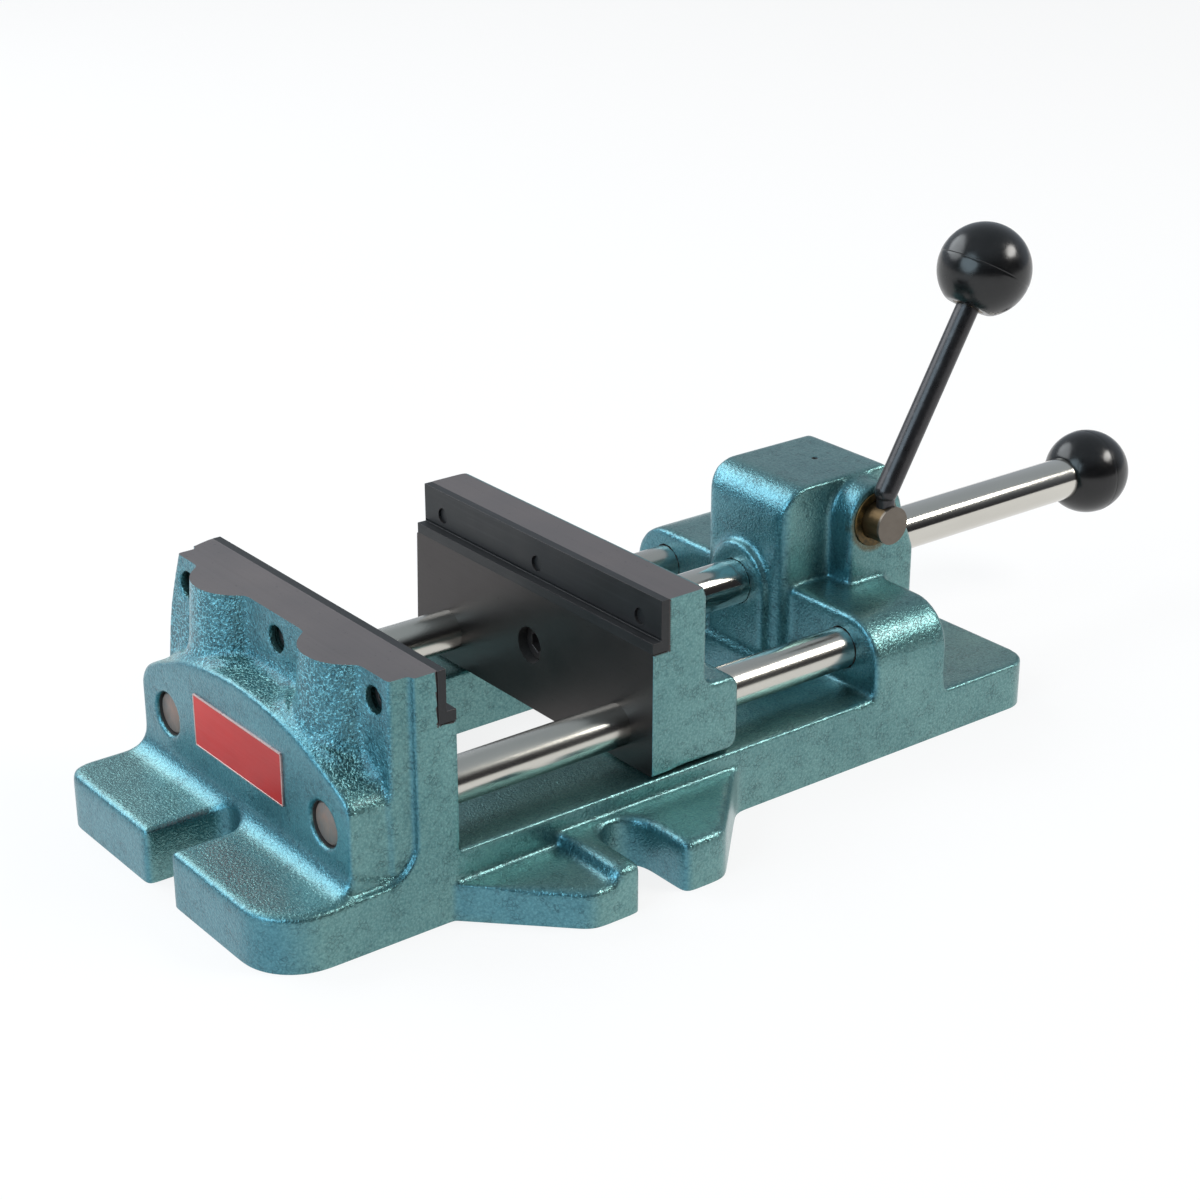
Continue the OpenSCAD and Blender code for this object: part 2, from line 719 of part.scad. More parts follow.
module guide_rod_set_screws() {
  color(DARK_STEEL) for (s = [-1, 1])
    translate([set_screw_x, s * rod_y, rod_z - rod_r - set_screw_l]) difference() {
      cylinder(d = set_screw_d, h = set_screw_l);
      translate([0, 0, -over])
        cylinder(d = set_screw_d * set_socket_share, h = set_screw_l * socket_depth_share + over, $fn = 6);
    }
}

module cam_bush_near() {
  color(BRONZE) translate([cam_x, 0, cam_z]) difference() {
    union() {
      bar_y(bush_r, -cam_face, -cavity_half);
      bar_y(bush_r + bush_flange_w, -cam_face - bush_flange_t, -cam_face);
    }
    bar_y(cam_shaft_r + run_fit, -cam_face - bush_flange_t - over, 0);
  }
}

module cam_bush_far() {
  color(BRONZE) translate([cam_x, 0, cam_z]) difference() {
    bar_y(bush_r, cavity_half, house_w / 2);
    bar_y(cam_shaft_r + run_fit, 0, house_w / 2 + over);
  }
}

module keeper_plate() {
  color(STEEL) difference() {
    union() {
      box([keeper_x, free_gap - cavity_half, keeper_z], [keeper_end, cavity_half - free_gap, keeper_top]);
      box([lock_front - free_gap - keeper_lip_t, -lock_w / 2, keeper_top - sink],
          [lock_front - free_gap, lock_w / 2, keeper_top + keeper_lip_h]);
      box([lock_rear + free_gap, -lock_w / 2, keeper_top - sink],
          [lock_rear + free_gap + keeper_lip_t, lock_w / 2, keeper_top + keeper_lip_h]);
    }
    for (p = KEEPER_SCREWS) translate([p[0], p[1], 0]) {
      cylinder(d = keeper_screw_d + 2 * hold_fit, h = keeper_top + over);
      cylinder(d = keeper_head_d + 2 * free_gap, h = keeper_z + keeper_head_h);
    }
  }
}

module keeper_screws() {
  color(DARK_STEEL) for (p = KEEPER_SCREWS)
    translate([p[0], p[1], keeper_z + keeper_head_h]) rotate([0, -90, 0])
      cap_screw(keeper_screw_d, keeper_head_d, keeper_head_h, keeper_screw_l);
}

module return_spring() {
  rings = [for (i = [0:spring_n], k = [0:SPRING_SIDES - 1])
    let (p = spring_point(i), a = 360 * i / SPRING_RINGS, b = 360 * k / SPRING_SIDES,
         out = [0, cos(a), sin(a)])
    p + spring_wire / 2 * (cos(b) * out + [sin(b), 0, 0])];
  last = spring_n * SPRING_SIDES;
  walls = [for (i = [0:spring_n - 1], k = [0:SPRING_SIDES - 1])
    let (m = (k + 1) % SPRING_SIDES, a = i * SPRING_SIDES, b = a + SPRING_SIDES)
    each [[a + k, b + m, a + m], [a + k, b + k, b + m]]];
  caps = [for (k = [1:SPRING_SIDES - 2]) each [[0, k, k + 1], [last, last + k + 1, last + k]]];
  color(STEEL) polyhedron(points = rings, faces = concat(walls, caps));
}

// Side profile of the moving jaw's slab and of its lugs, with the jaw face at X = 0
module slab_profile() {
  difference() {
    translate([0, jaw_bottom]) square([moving_jaw_t, jaw_top - jaw_bottom]);
    translate([moving_jaw_t, jaw_top]) corner_waste(slab_edge_r);
  }
}
module lug_profile() {
  difference() {
    translate([0, jaw_bottom]) square([lug_l, lug_top - jaw_bottom]);
    translate([lug_l, lug_top]) corner_waste(lug_edge_r);
    translate([lug_l, jaw_bottom]) mirror([0, 1]) corner_waste(lug_edge_r);
  }
  translate([moving_jaw_t, lug_top]) mirror([1, 0]) cove(lug_edge_r);
}

module moving_jaw() {
  color(PAINT) translate([opening, 0, 0]) difference() {
    union() {
      intersection() {
        union() {
          along_y(-half_w, half_w + jaw_draft) slab_profile();
          along_y(-half_w, lug_w - half_w) lug_profile();
          along_y(half_w - lug_w, half_w + jaw_draft) lug_profile();
        }
        along_x(0, lug_l) polygon([[-half_w, jaw_bottom], [half_w + jaw_draft, jaw_bottom],
          [half_w, jaw_top], [-half_w, jaw_top]]);
      }
      translate([0, 0, plunger_z]) bar_x(hub_d / 2, sink, hub_l);
      box([sink, -hub_d / 2, jaw_bottom], [hub_l, hub_d / 2, plunger_z]);
    }
    box([-over, -half_w - over, insert_z], [ledge_d, half_w + over, jaw_top + over]);
    for (y = SCREW_YS) translate([0, y, screw_z]) {
      bar_x(screw_d / 2 + hold_fit, 0, moving_jaw_t);
      bar_x(screw_bore_d / 2, moving_jaw_t - moving_bore_depth, hub_l);
    }
    for (s = [-1, 1]) translate([0, s * rod_y, rod_z]) bar_x(rod_r + run_fit, -over, lug_l + over);
    translate([0, 0, plunger_z]) {
      bar_x(plunger_head_d / 2 + free_gap, -over, washer_seat);
      bar_x(plunger_screw_d / 2 + hold_fit, 0, hub_l);
      bar_x(plunger_r + hold_fit, plunger_seat, hub_l + over);
    }
  }
}

module moving_jaw_insert() {
  translate([opening, 0, 0]) mirror([1, 0, 0]) step_insert();
}

module moving_jaw_screws() {
  seat = moving_jaw_t - moving_bore_depth;
  color(DARK_STEEL) for (y = SCREW_YS) translate([opening + seat, y, screw_z]) mirror([1, 0, 0])
    cap_screw(screw_d, screw_head_d, screw_head_h, seat - ledge_d + insert_t - free_gap);
}

module plunger_rod() {
  color(STEEL) translate([opening, 0, plunger_z]) difference() {
    union() {
      bar_x(plunger_r, plunger_seat, plunger_reach);
      bar_x(stud_d / 2, plunger_reach - sink, plunger_reach + knob_insert_l);
    }
    bar_x(plunger_screw_d / 2 + hold_fit, 0, plunger_seat + plunger_screw_hold + over);
  }
}

module plunger_screw() {
  color(DARK_STEEL) translate([opening + washer_seat - washer_t, 0, plunger_z])
    cap_screw(plunger_screw_d, plunger_head_d, plunger_head_h,
              plunger_seat + plunger_screw_hold - washer_seat + washer_t);
}

module plunger_washer() {
  color(STEEL) translate([opening, 0, plunger_z]) difference() {
    bar_x(plunger_head_d / 2, washer_seat - washer_t, washer_seat);
    bar_x(plunger_screw_d / 2 + hold_fit, 0, washer_seat + over);
  }
}

// Ball knob along +X, with its flat at X = 0
module ball_knob() {
  color(BLACK) rotate([0, 90, 0]) rotate_extrude() intersection() {
    difference() {
      translate([0, knob_seat]) circle(knob_r);
      translate([-over, -over]) square([knob_insert_d / 2 + over, knob_hole_l + over]);
    }
    square([knob_d, knob_d]);
  }
}

// Threaded insert of a ball knob, with a bore of diameter d
module knob_insert(d) {
  color(BRONZE) difference() {
    bar_x(knob_insert_d / 2, 0, knob_insert_l);
    bar_x(d / 2, -over, knob_hole_l);
  }
}

module plunger_knob() {
  translate([opening + plunger_reach, 0, plunger_z]) ball_knob();
}

module plunger_knob_insert() {
  translate([opening + plunger_reach, 0, plunger_z]) knob_insert(stud_d);
}

module cam_shaft() {
  color(BRONZE) translate([cam_x, 0, cam_z]) difference() {
    union() {
      bar_y(cam_shaft_r, shaft_near, -eccentric_half);
      translate([cam_off_x, 0, cam_off_z]) bar_y(cam_r, -eccentric_half - sink, eccentric_half + sink);
      bar_y(cam_shaft_r, eccentric_half, shaft_far);
    }
    translate([0, lever_y, 0]) cylinder(d = lever_stub_d + 2 * hold_fit, h = cam_d);
    translate([0, house_w / 2 + ring_gap, 0]) difference() {
      bar_y(cam_d, 0, ring_t);
      bar_y(cam_shaft_r - ring_groove, -over, ring_t + over);
    }
  }
}

module cam_retaining_ring() {
  color(DARK_STEEL) translate([cam_x, house_w / 2 + ring_gap, cam_z]) difference() {
    bar_y(cam_shaft_r + ring_groove, 0, ring_t);
    bar_y(cam_shaft_r - ring_groove + hold_fit, -over, ring_t + over);
    box([-cam_shaft_r / 2, -over, -cam_d], [cam_shaft_r / 2, ring_t + over, 0]);
  }
}

// Places a child along +X on the lever rod, from the lever's bend outwards
module on_lever() {
  translate([cam_x, lever_y, cam_z + lever_bend_h]) rotate([0, lever_lean - 90, 0]) children();
}

module lever_rod() {
  color(BLACK) {
    translate([cam_x, lever_y, cam_z + hold_fit]) cylinder(d = lever_stub_d, h = lever_bend_h);
    on_lever() {
      sphere(d = lever_d);
      bar_x(lever_d / 2, 0, lever_knob_at);
      bar_x(lever_stub_d / 2, 0, lever_knob_at + knob_insert_l);
    }
  }
}

module lever_knob() {
  on_lever() translate([lever_knob_at, 0, 0]) ball_knob();
}

module lever_knob_insert() {
  on_lever() translate([lever_knob_at, 0, 0]) knob_insert(lever_stub_d);
}

// Lock plate from x0 to x1, with its half of the round foot
module lock_plate(x0, x1) {
  color(STEEL) difference() {
    union() {
      box([x0, -lock_w / 2, foot_z], [x1, lock_w / 2, lock_top]);
      intersection() {
        translate([lock_mid, 0, foot_z]) bar_y(lock_t, -lock_w / 2, lock_w / 2);
        box([x0, -lock_w / 2, keeper_top], [x1, lock_w / 2, foot_z + sink]);
      }
    }
    translate([0, 0, plunger_z]) bar_x(plunger_r + lock_clear, x0 - over, x1 + over);
  }
}

base_casting();
nameplate();
step_insert();  // fixed_jaw_insert
fixed_jaw_screws();
guide_rod(-1);  // guide_rod_near
guide_rod(1);  // guide_rod_far
guide_rod_set_screws();
cam_bush_near();
cam_bush_far();
keeper_plate();
keeper_screws();
return_spring();
moving_jaw();
moving_jaw_insert();
moving_jaw_screws();
plunger_rod();
plunger_screw();
plunger_washer();
plunger_knob();
plunger_knob_insert();
cam_shaft();
cam_retaining_ring();
lever_rod();
lever_knob();
lever_knob_insert();
lock_plate(lock_front, lock_mid);  // lock_plate_front
lock_plate(lock_mid, lock_rear);  // lock_plate_rear
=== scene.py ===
"""Dresses a cam-action drill press vise: cast skins, paint, ground steel, ball knobs and a studio."""

import math
from contextlib import contextmanager

import bmesh
import bpy
import numpy as np
from mathutils import Matrix, Vector


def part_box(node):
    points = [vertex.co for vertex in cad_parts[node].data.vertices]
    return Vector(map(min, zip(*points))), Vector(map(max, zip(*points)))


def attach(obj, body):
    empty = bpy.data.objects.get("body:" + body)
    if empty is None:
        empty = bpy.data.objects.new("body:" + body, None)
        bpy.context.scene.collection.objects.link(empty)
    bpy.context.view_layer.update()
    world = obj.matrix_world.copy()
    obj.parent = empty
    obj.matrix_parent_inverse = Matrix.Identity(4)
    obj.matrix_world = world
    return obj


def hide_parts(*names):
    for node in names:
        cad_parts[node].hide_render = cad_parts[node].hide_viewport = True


bl_info = {
    "name": "Drill Press Vise",
    "version": (1, 0, 0),
    "blender": (4, 5, 0),
    "location": "View3D > Sidebar > Vise",
    "description": "Builds the castings, steel pieces, knobs and studio of a drill press vise",
    "category": "Object",
}

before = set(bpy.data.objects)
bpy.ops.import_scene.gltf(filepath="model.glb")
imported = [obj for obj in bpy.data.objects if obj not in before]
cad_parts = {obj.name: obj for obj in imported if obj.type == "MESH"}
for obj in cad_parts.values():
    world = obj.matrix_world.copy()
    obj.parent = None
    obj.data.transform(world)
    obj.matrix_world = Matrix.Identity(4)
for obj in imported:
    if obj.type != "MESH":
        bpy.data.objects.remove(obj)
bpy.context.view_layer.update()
MM = 0.001

# Places read from the solids
JAW_LOW, JAW_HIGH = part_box("moving_jaw")
OPENING = JAW_LOW.x
JAW_TOP = JAW_HIGH.z
INSERT_LOW, INSERT_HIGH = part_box("fixed_jaw_insert")
JAW_SIDE = INSERT_HIGH.y
ROD_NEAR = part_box("guide_rod_near")
ROD_Y = -(ROD_NEAR[0].y + ROD_NEAR[1].y) / 2
ROD_Z = (ROD_NEAR[0].z + ROD_NEAR[1].z) / 2
ROD_R = (ROD_NEAR[1].z - ROD_NEAR[0].z) / 2
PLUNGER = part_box("plunger_rod")
PLUNGER_Z = (PLUNGER[0].z + PLUNGER[1].z) / 2
PLUNGER_R = (PLUNGER[1].z - PLUNGER[0].z) / 2
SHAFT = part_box("cam_shaft")
CAM_X = (SHAFT[0].x + SHAFT[1].x) / 2
CAM_Z = (SHAFT[0].z + SHAFT[1].z) / 2
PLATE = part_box("nameplate")
BOSS_X = PLATE[1].x
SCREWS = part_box("fixed_jaw_screws")
SCREW_Z = (SCREWS[0].z + SCREWS[1].z) / 2
SCREW_Y = (SCREWS[1].y - SCREWS[0].y) / 2 - (SCREWS[1].z - SCREWS[0].z) / 2
SCREW_ROW = (-SCREW_Y / MM, 0, SCREW_Y / MM)

# The fixed jaw's front, in mm: the boss's arched edge, and the middles of the two bulges, which lie
# a little further out than midway between the screws
ARCH_RADIUS = 147.0
ARCH_TOP = 74.5
BULGE_X = -16
BULGE_OUT = 6

# How far a ground plane is moved outwards before it is cut back to its place, in mm
CUT_ROOM = 4

# How far the cast skins are moved from the solids, in mm
FAR_CORNER_CUT = 4.4
COVE_RISE = 3.6
CHEEK_STEP = 3.8
BULGE_SWELL = 2.4
FRONT_LEAN = 0.8
FAR_END_LEAN = 3.6
FAR_END_SPREAD = 2.0
RAIL_SHIFT = 1.8
REAR_EDGE_DROP = 7.4

# The share by which the screw holes narrow in front of the screws
HOLE_NARROWING = 0.13

# The step inserts: the wall and ledge of the step, and the relief cut into the wall above the ledge
STEP_WALL = 3.4 * MM
STEP_LEDGE = 4.2 * MM
RELIEF_LOW = 0.25 * MM
RELIEF_HIGH = 1.15 * MM
RELIEF_DEPTH = 0.9 * MM

# Which of a casting's finishes a face takes
PAINTED, GROUND_TOP, JAW_FACE, BORE = range(4)

# Angles in degrees past which an edge is sharp, on machined pieces and on castings
SHARP_EDGE = 32
CAST_EDGE = 40


# Sizes and colours that a user would change


class CastingSettings(bpy.types.PropertyGroup):
    voxel: bpy.props.FloatProperty(name="Skin grid", description="Grid of the cast skin", default=0.8 * MM,
                                   min=0.5 * MM, unit="LENGTH")
    base_passes: bpy.props.IntProperty(name="Base rounding", description="Smoothing passes over the base",
                                       default=9, min=0)
    soft_passes: bpy.props.IntProperty(name="Soft rounding",
                                       description="More passes over the castings' soft parts",
                                       default=90, min=0)
    jaw_passes: bpy.props.IntProperty(name="Jaw rounding", description="Smoothing passes over the moving jaw",
                                      default=5, min=0)
    base_faces: bpy.props.IntProperty(name="Base triangles", description="Most triangles of the base's skin",
                                      default=190000, min=10000)
    jaw_faces: bpy.props.IntProperty(name="Jaw triangles",
                                     description="Most triangles of the moving jaw's skin",
                                     default=110000, min=10000)


class PaintSettings(bpy.types.PropertyGroup):
    light: bpy.props.FloatVectorProperty(name="Light teal", description="Paint on the tops of its grain",
                                         default=(0.19, 0.36, 0.345), subtype="COLOR")
    dark: bpy.props.FloatVectorProperty(name="Dark teal", description="Paint in the hollows of its grain",
                                        default=(0.06, 0.172, 0.182), subtype="COLOR")
    red: bpy.props.FloatVectorProperty(name="Plate red", description="Lacquer of the bare plate",
                                       default=(0.52, 0.02, 0.018), subtype="COLOR")
    grain: bpy.props.FloatProperty(name="Grain", description="Size of the paint's cells", default=1.0 * MM,
                                   min=0.2 * MM, unit="LENGTH")


class SteelSettings(bpy.types.PropertyGroup):
    edge: bpy.props.FloatProperty(name="Broken edge", description="Width of the bevel on steel edges",
                                  default=0.3 * MM, min=0.05 * MM, unit="LENGTH")
    ground: bpy.props.FloatVectorProperty(name="Ground iron", description="Bare ground iron on the jaw tops",
                                          default=(0.172, 0.152, 0.15), subtype="COLOR")
    rod: bpy.props.FloatVectorProperty(name="Rod steel", description="Ground and polished rods",
                                       default=(0.61, 0.59, 0.54), subtype="COLOR")
    oxide: bpy.props.FloatVectorProperty(name="Black oxide", description="Blackened step inserts and screws",
                                         default=(0.02, 0.02, 0.021), subtype="COLOR")
    knob_segments: bpy.props.IntProperty(name="Knob steps", description="Steps of the spin round a knob",
                                         default=112, min=16)


class StageSettings(bpy.types.PropertyGroup):
    lens: bpy.props.FloatProperty(name="Lens", description="Focal length on a 36 mm sensor", default=73.74,
                                  subtype="DISTANCE_CAMERA")
    place: bpy.props.FloatVectorProperty(name="Camera place", description="Where the camera stands",
                                         default=(-0.4238, -0.7039, 0.4479), subtype="TRANSLATION")
    yaw: bpy.props.FloatProperty(name="Yaw", description="Turn of the camera about the upright axis",
                                 default=math.radians(-37.737), subtype="ANGLE")
    pitch: bpy.props.FloatProperty(name="Pitch", description="How far the camera looks down",
                                   default=math.radians(23.281), subtype="ANGLE")
    window_power: bpy.props.FloatProperty(name="Window", description="Softbox behind on the left",
                                          default=23.0, subtype="POWER")
    key_power: bpy.props.FloatProperty(name="Key", description="Softbox on the lever's side",
                                       default=20.0, subtype="POWER")
    fill_power: bpy.props.FloatProperty(name="Fill", description="Softbox before the fixed jaw",
                                        default=18.0, subtype="POWER")


# Mesh helpers


def merged_copy(node):
    """The node's mesh as a bmesh whose loose triangles are joined."""
    bm = bmesh.new()
    bm.from_mesh(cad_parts[node].data)
    bmesh.ops.remove_doubles(bm, verts=bm.verts, dist=0.002 * MM)
    return bm


@contextmanager
def edited(mesh):
    """A bmesh of a mesh, which is written back to it at the end of the block."""
    bm = bmesh.new()
    bm.from_mesh(mesh)
    yield bm
    bm.to_mesh(mesh)
    bm.free()


def new_piece(bm, name, *finishes):
    mesh = bpy.data.meshes.new(name)
    bm.to_mesh(mesh)
    bm.free()
    piece = bpy.data.objects.new(name, mesh)
    bpy.context.scene.collection.objects.link(piece)
    for finish in finishes:
        mesh.materials.append(finish)
    return piece


def smooth_shade(piece, degrees=SHARP_EDGE):
    mesh = piece.data
    mesh.polygons.foreach_set("use_smooth", np.ones(len(mesh.polygons), dtype=bool))
    mesh.set_sharp_from_angle(angle=math.radians(degrees))


def even_shading(piece):
    """Lets the large faces lead the shading, so that a flat looks flat up to its broken edge."""
    smooth_shade(piece)
    even = piece.modifiers.new("even", "WEIGHTED_NORMAL")
    even.keep_sharp = True
    settle(piece)


def settle(piece):
    """Turns a piece's modifiers into its mesh."""
    graph = bpy.context.evaluated_depsgraph_get()
    mesh = bpy.data.meshes.new_from_object(piece.evaluated_get(graph), preserve_all_data_layers=True,
                                           depsgraph=graph)
    old = piece.data
    piece.modifiers.clear()
    piece.data = mesh
    bpy.data.meshes.remove(old)
    mesh.name = piece.name


def points(mesh):
    """The places of a mesh's points, in mm."""
    co = np.empty(len(mesh.vertices) * 3, dtype=np.float32)
    mesh.vertices.foreach_get("co", co)
    return co.reshape(-1, 3) / MM


def face_places(mesh):
    """The middles of a mesh's faces, in mm, and the ways they look."""
    centre = np.empty(len(mesh.polygons) * 3, dtype=np.float32)
    normal = np.empty_like(centre)
    mesh.polygons.foreach_get("center", centre)
    mesh.polygons.foreach_get("normal", normal)
    return centre.reshape(-1, 3) / MM, normal.reshape(-1, 3)


def node_points(node):
    return np.array([v.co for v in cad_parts[node].data.vertices])


def round_zone(p, axis, centre, radius, low, high):
    """Points within radius of a line along axis that goes through centre, between low and high, in mm."""
    others = [i for i in range(3) if i != axis]
    near = np.hypot(p[:, others[0]] - centre[0], p[:, others[1]] - centre[1]) < radius
    return near & (p[:, axis] > low) & (p[:, axis] < high)


def fade(value, low, high):
    """A share that goes from 0 at low to 1 at high."""
    return np.clip((value - low) / (high - low), 0.0, 1.0)


def box_zone(p, low, high):
    """Points between two corners of a box, in mm."""
    return np.all((p > np.array(low)) & (p < np.array(high)), axis=1)


def once(items):
    """The items without repeats, in a fixed order, so that every run gives the same skin."""
    return list(dict.fromkeys(items))


def stretch_to_cut(bm, axis, at, by, within):
    """Moves the vertices that lie on a ground plane outwards, so that the plane can be cut later."""
    chosen = [v for v in bm.verts if abs(v.co[axis] - at) < 0.01 * MM and within(v.co)]
    shift = Vector((0, 0, 0))
    shift[axis] = by
    bmesh.ops.translate(bm, verts=chosen, vec=shift)


def grind_flat(bm, axis, at, outward, within):
    """Cuts a skin off at a ground plane and closes it with a flat face."""
    normal = Vector((0, 0, 0))
    normal[axis] = outward
    place = Vector((0, 0, 0))
    place[axis] = at
    faces = [f for f in bm.faces if within(f.calc_center_median())]
    edges = once(e for f in faces for e in f.edges)
    verts = once(v for f in faces for v in f.verts)
    cut = bmesh.ops.bisect_plane(bm, geom=verts + edges + faces, dist=0.0005 * MM, plane_co=place,
                                 plane_no=normal, clear_outer=True)
    rim = [e for e in cut["geom_cut"] if isinstance(e, bmesh.types.BMEdge) and e.is_boundary]
    bmesh.ops.triangle_fill(bm, edges=rim, use_beauty=True, normal=normal)


def soften(piece, passes, weights):
    """Smooths a skin by passes, as far as the weights of its points let it."""
    group = piece.vertex_groups.new(name="cast")
    steps = np.round(weights(points(piece.data)) * 10).astype(int)
    for step in range(1, 11):
        group.add(np.flatnonzero(steps == step).tolist(), step / 10, "REPLACE")
    rounding = piece.modifiers.new("rounding", "SMOOTH")
    rounding.factor = 0.5
    rounding.iterations = passes
    rounding.vertex_group = group.name
    settle(piece)
    piece.vertex_groups.clear()


def cast_skin(node, name, most, planes, roundings, reshape):
    """A node's shape with the rounded edges of a casting, and its ground planes flat and crisp."""
    bm = merged_copy(node)
    for axis, at, outward, within in planes:
        stretch_to_cut(bm, axis, at, outward * CUT_ROOM * MM, within)
    piece = new_piece(bm, name)
    skin = piece.modifiers.new("skin", "REMESH")
    skin.mode = "VOXEL"
    skin.voxel_size = bpy.context.scene.vise_casting.voxel
    settle(piece)
    moved = reshape(points(piece.data)) * MM
    piece.data.vertices.foreach_set("co", moved.ravel())
    piece.data.update()
    for passes, weights in roundings:
        soften(piece, passes, weights)
    with edited(piece.data) as bm:
        for axis, at, outward, within in planes:
            grind_flat(bm, axis, at, outward, within)
        bmesh.ops.triangulate(bm, faces=bm.faces)
    count = len(piece.data.polygons)
    if count > most:
        thin = piece.modifiers.new("thin", "DECIMATE")
        thin.ratio = most / count
        settle(piece)
    return piece


def eased_copy(node, name, finish, width, segments=2):
    """A node's shape with its sharp edges broken."""
    bm = merged_copy(node)
    bmesh.ops.dissolve_limit(bm, angle_limit=math.radians(0.4), verts=bm.verts, edges=bm.edges)
    sharp = [e for e in bm.edges if e.is_manifold and e.calc_face_angle() > math.radians(SHARP_EDGE)]
    bmesh.ops.bevel(bm, geom=sharp, offset=width, offset_type="OFFSET", segments=segments, profile=0.5,
                    affect="EDGES", clamp_overlap=True, material=-1)
    piece = new_piece(bm, name, finish)
    even_shading(piece)
    return piece


def spun(name, finish, profile, place, direction, steps):
    """A turned shape: profile holds (distance along direction, radius) from place, in metres."""
    bm = bmesh.new()
    verts = [bm.verts.new((r, 0, s)) for s, r in profile]
    for a, b in zip(verts, verts[1:]):
        bm.edges.new((a, b))
    bmesh.ops.spin(bm, geom=bm.verts[:] + bm.edges[:], cent=(0, 0, 0), axis=(0, 0, 1), angle=2 * math.pi,
                   steps=steps, use_merge=True)
    bmesh.ops.remove_doubles(bm, verts=bm.verts, dist=0.002 * MM)
    bmesh.ops.recalc_face_normals(bm, faces=bm.faces)
    turn = Vector(direction).to_track_quat("Z", "Y").to_matrix().to_4x4()
    bmesh.ops.transform(bm, matrix=Matrix.Translation(place) @ turn, verts=bm.verts)
    piece = new_piece(bm, name, finish)
    smooth_shade(piece)
    return piece


def mark_front(piece):
    """Keeps on each point how far the skin looks forwards, so that the paint can tint the front bluer and
    darker as painted light.
    """
    normal = np.empty(len(piece.data.vertices) * 3, dtype=np.float32)
    piece.data.vertices.foreach_get("normal", normal)
    share = fade(-normal[0::3], 0.1, 0.75).astype(np.float32)
    piece.data.attributes.new("front_light_share", "FLOAT", "POINT").data.foreach_set("value", share)


def second_finish(piece, finish, takes):
    """Gives another finish to the faces whose normal passes a test."""
    piece.data.materials.append(finish)
    for face in piece.data.polygons:
        face.material_index = 1 if takes(face.normal) else 0


def stand_for(piece, body, slot, *nodes):
    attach(piece, body)
    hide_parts(*nodes)


def dress_node(node, finish):
    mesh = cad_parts[node].data
    mesh.materials.clear()
    mesh.materials.append(finish)


# Node helpers for the finishes


def blank_finish(name):
    finish = bpy.data.materials.get(name)
    if finish:
        bpy.data.materials.remove(finish)
    finish = bpy.data.materials.new(name)
    finish.use_nodes = True
    tree = finish.node_tree
    shader = tree.nodes["Principled BSDF"]
    where = tree.nodes.new("ShaderNodeTexCoord").outputs["Object"]
    return finish, tree, shader, where


def feed(tree, socket, value):
    """Links a socket to another node's output, or sets it to a plain value."""
    if isinstance(value, bpy.types.NodeSocket):
        tree.links.new(value, socket)
    else:
        socket.default_value = value


def add(tree, kind, inputs=(), **settings):
    node = tree.nodes.new(kind)
    for name, value in settings.items():
        setattr(node, name, value)
    for key, value in dict(inputs).items():
        feed(tree, node.inputs[key], value)
    return node


def rgba(colour):
    return (*colour, 1.0)


def noise(tree, where, scale, detail=2.0, rough=0.5):
    return add(tree, "ShaderNodeTexNoise", {"Vector": where, "Scale": scale, "Detail": detail,
                                            "Roughness": rough}).outputs["Fac"]


def stretched(tree, where, scale):
    return add(tree, "ShaderNodeMapping", {"Vector": where, "Scale": scale}).outputs["Vector"]


def maths(tree, operation, a, b=0.0, clamp=False):
    return add(tree, "ShaderNodeMath", {0: a, 1: b}, operation=operation, use_clamp=clamp).outputs[0]


def spread(tree, value, low, high, to_low=0.0, to_high=1.0):
    return add(tree, "ShaderNodeMapRange", {"Value": value, "From Min": low, "From Max": high,
                                            "To Min": to_low, "To Max": to_high}).outputs["Result"]


def tint(tree, share, a, b, way="MIX"):
    """A mix of two colours, whose sockets come after the node's own for numbers and vectors."""
    node = tree.nodes.new("ShaderNodeMix")
    node.data_type = "RGBA"
    node.blend_type = way
    for index, value in ((0, share), (6, a), (7, b)):
        feed(tree, node.inputs[index], value)
    return node.outputs[2]


def dent(tree, height, strength, distance):
    return add(tree, "ShaderNodeBump", {"Height": height, "Strength": strength,
                                        "Distance": distance}).outputs["Normal"]


def wire(tree, shader, **sockets):
    names = {"colour": "Base Color", "rough": "Roughness", "normal": "Normal", "metal": "Metallic"}
    for key, value in sockets.items():
        feed(tree, shader.inputs[names[key]], value)


# Finishes


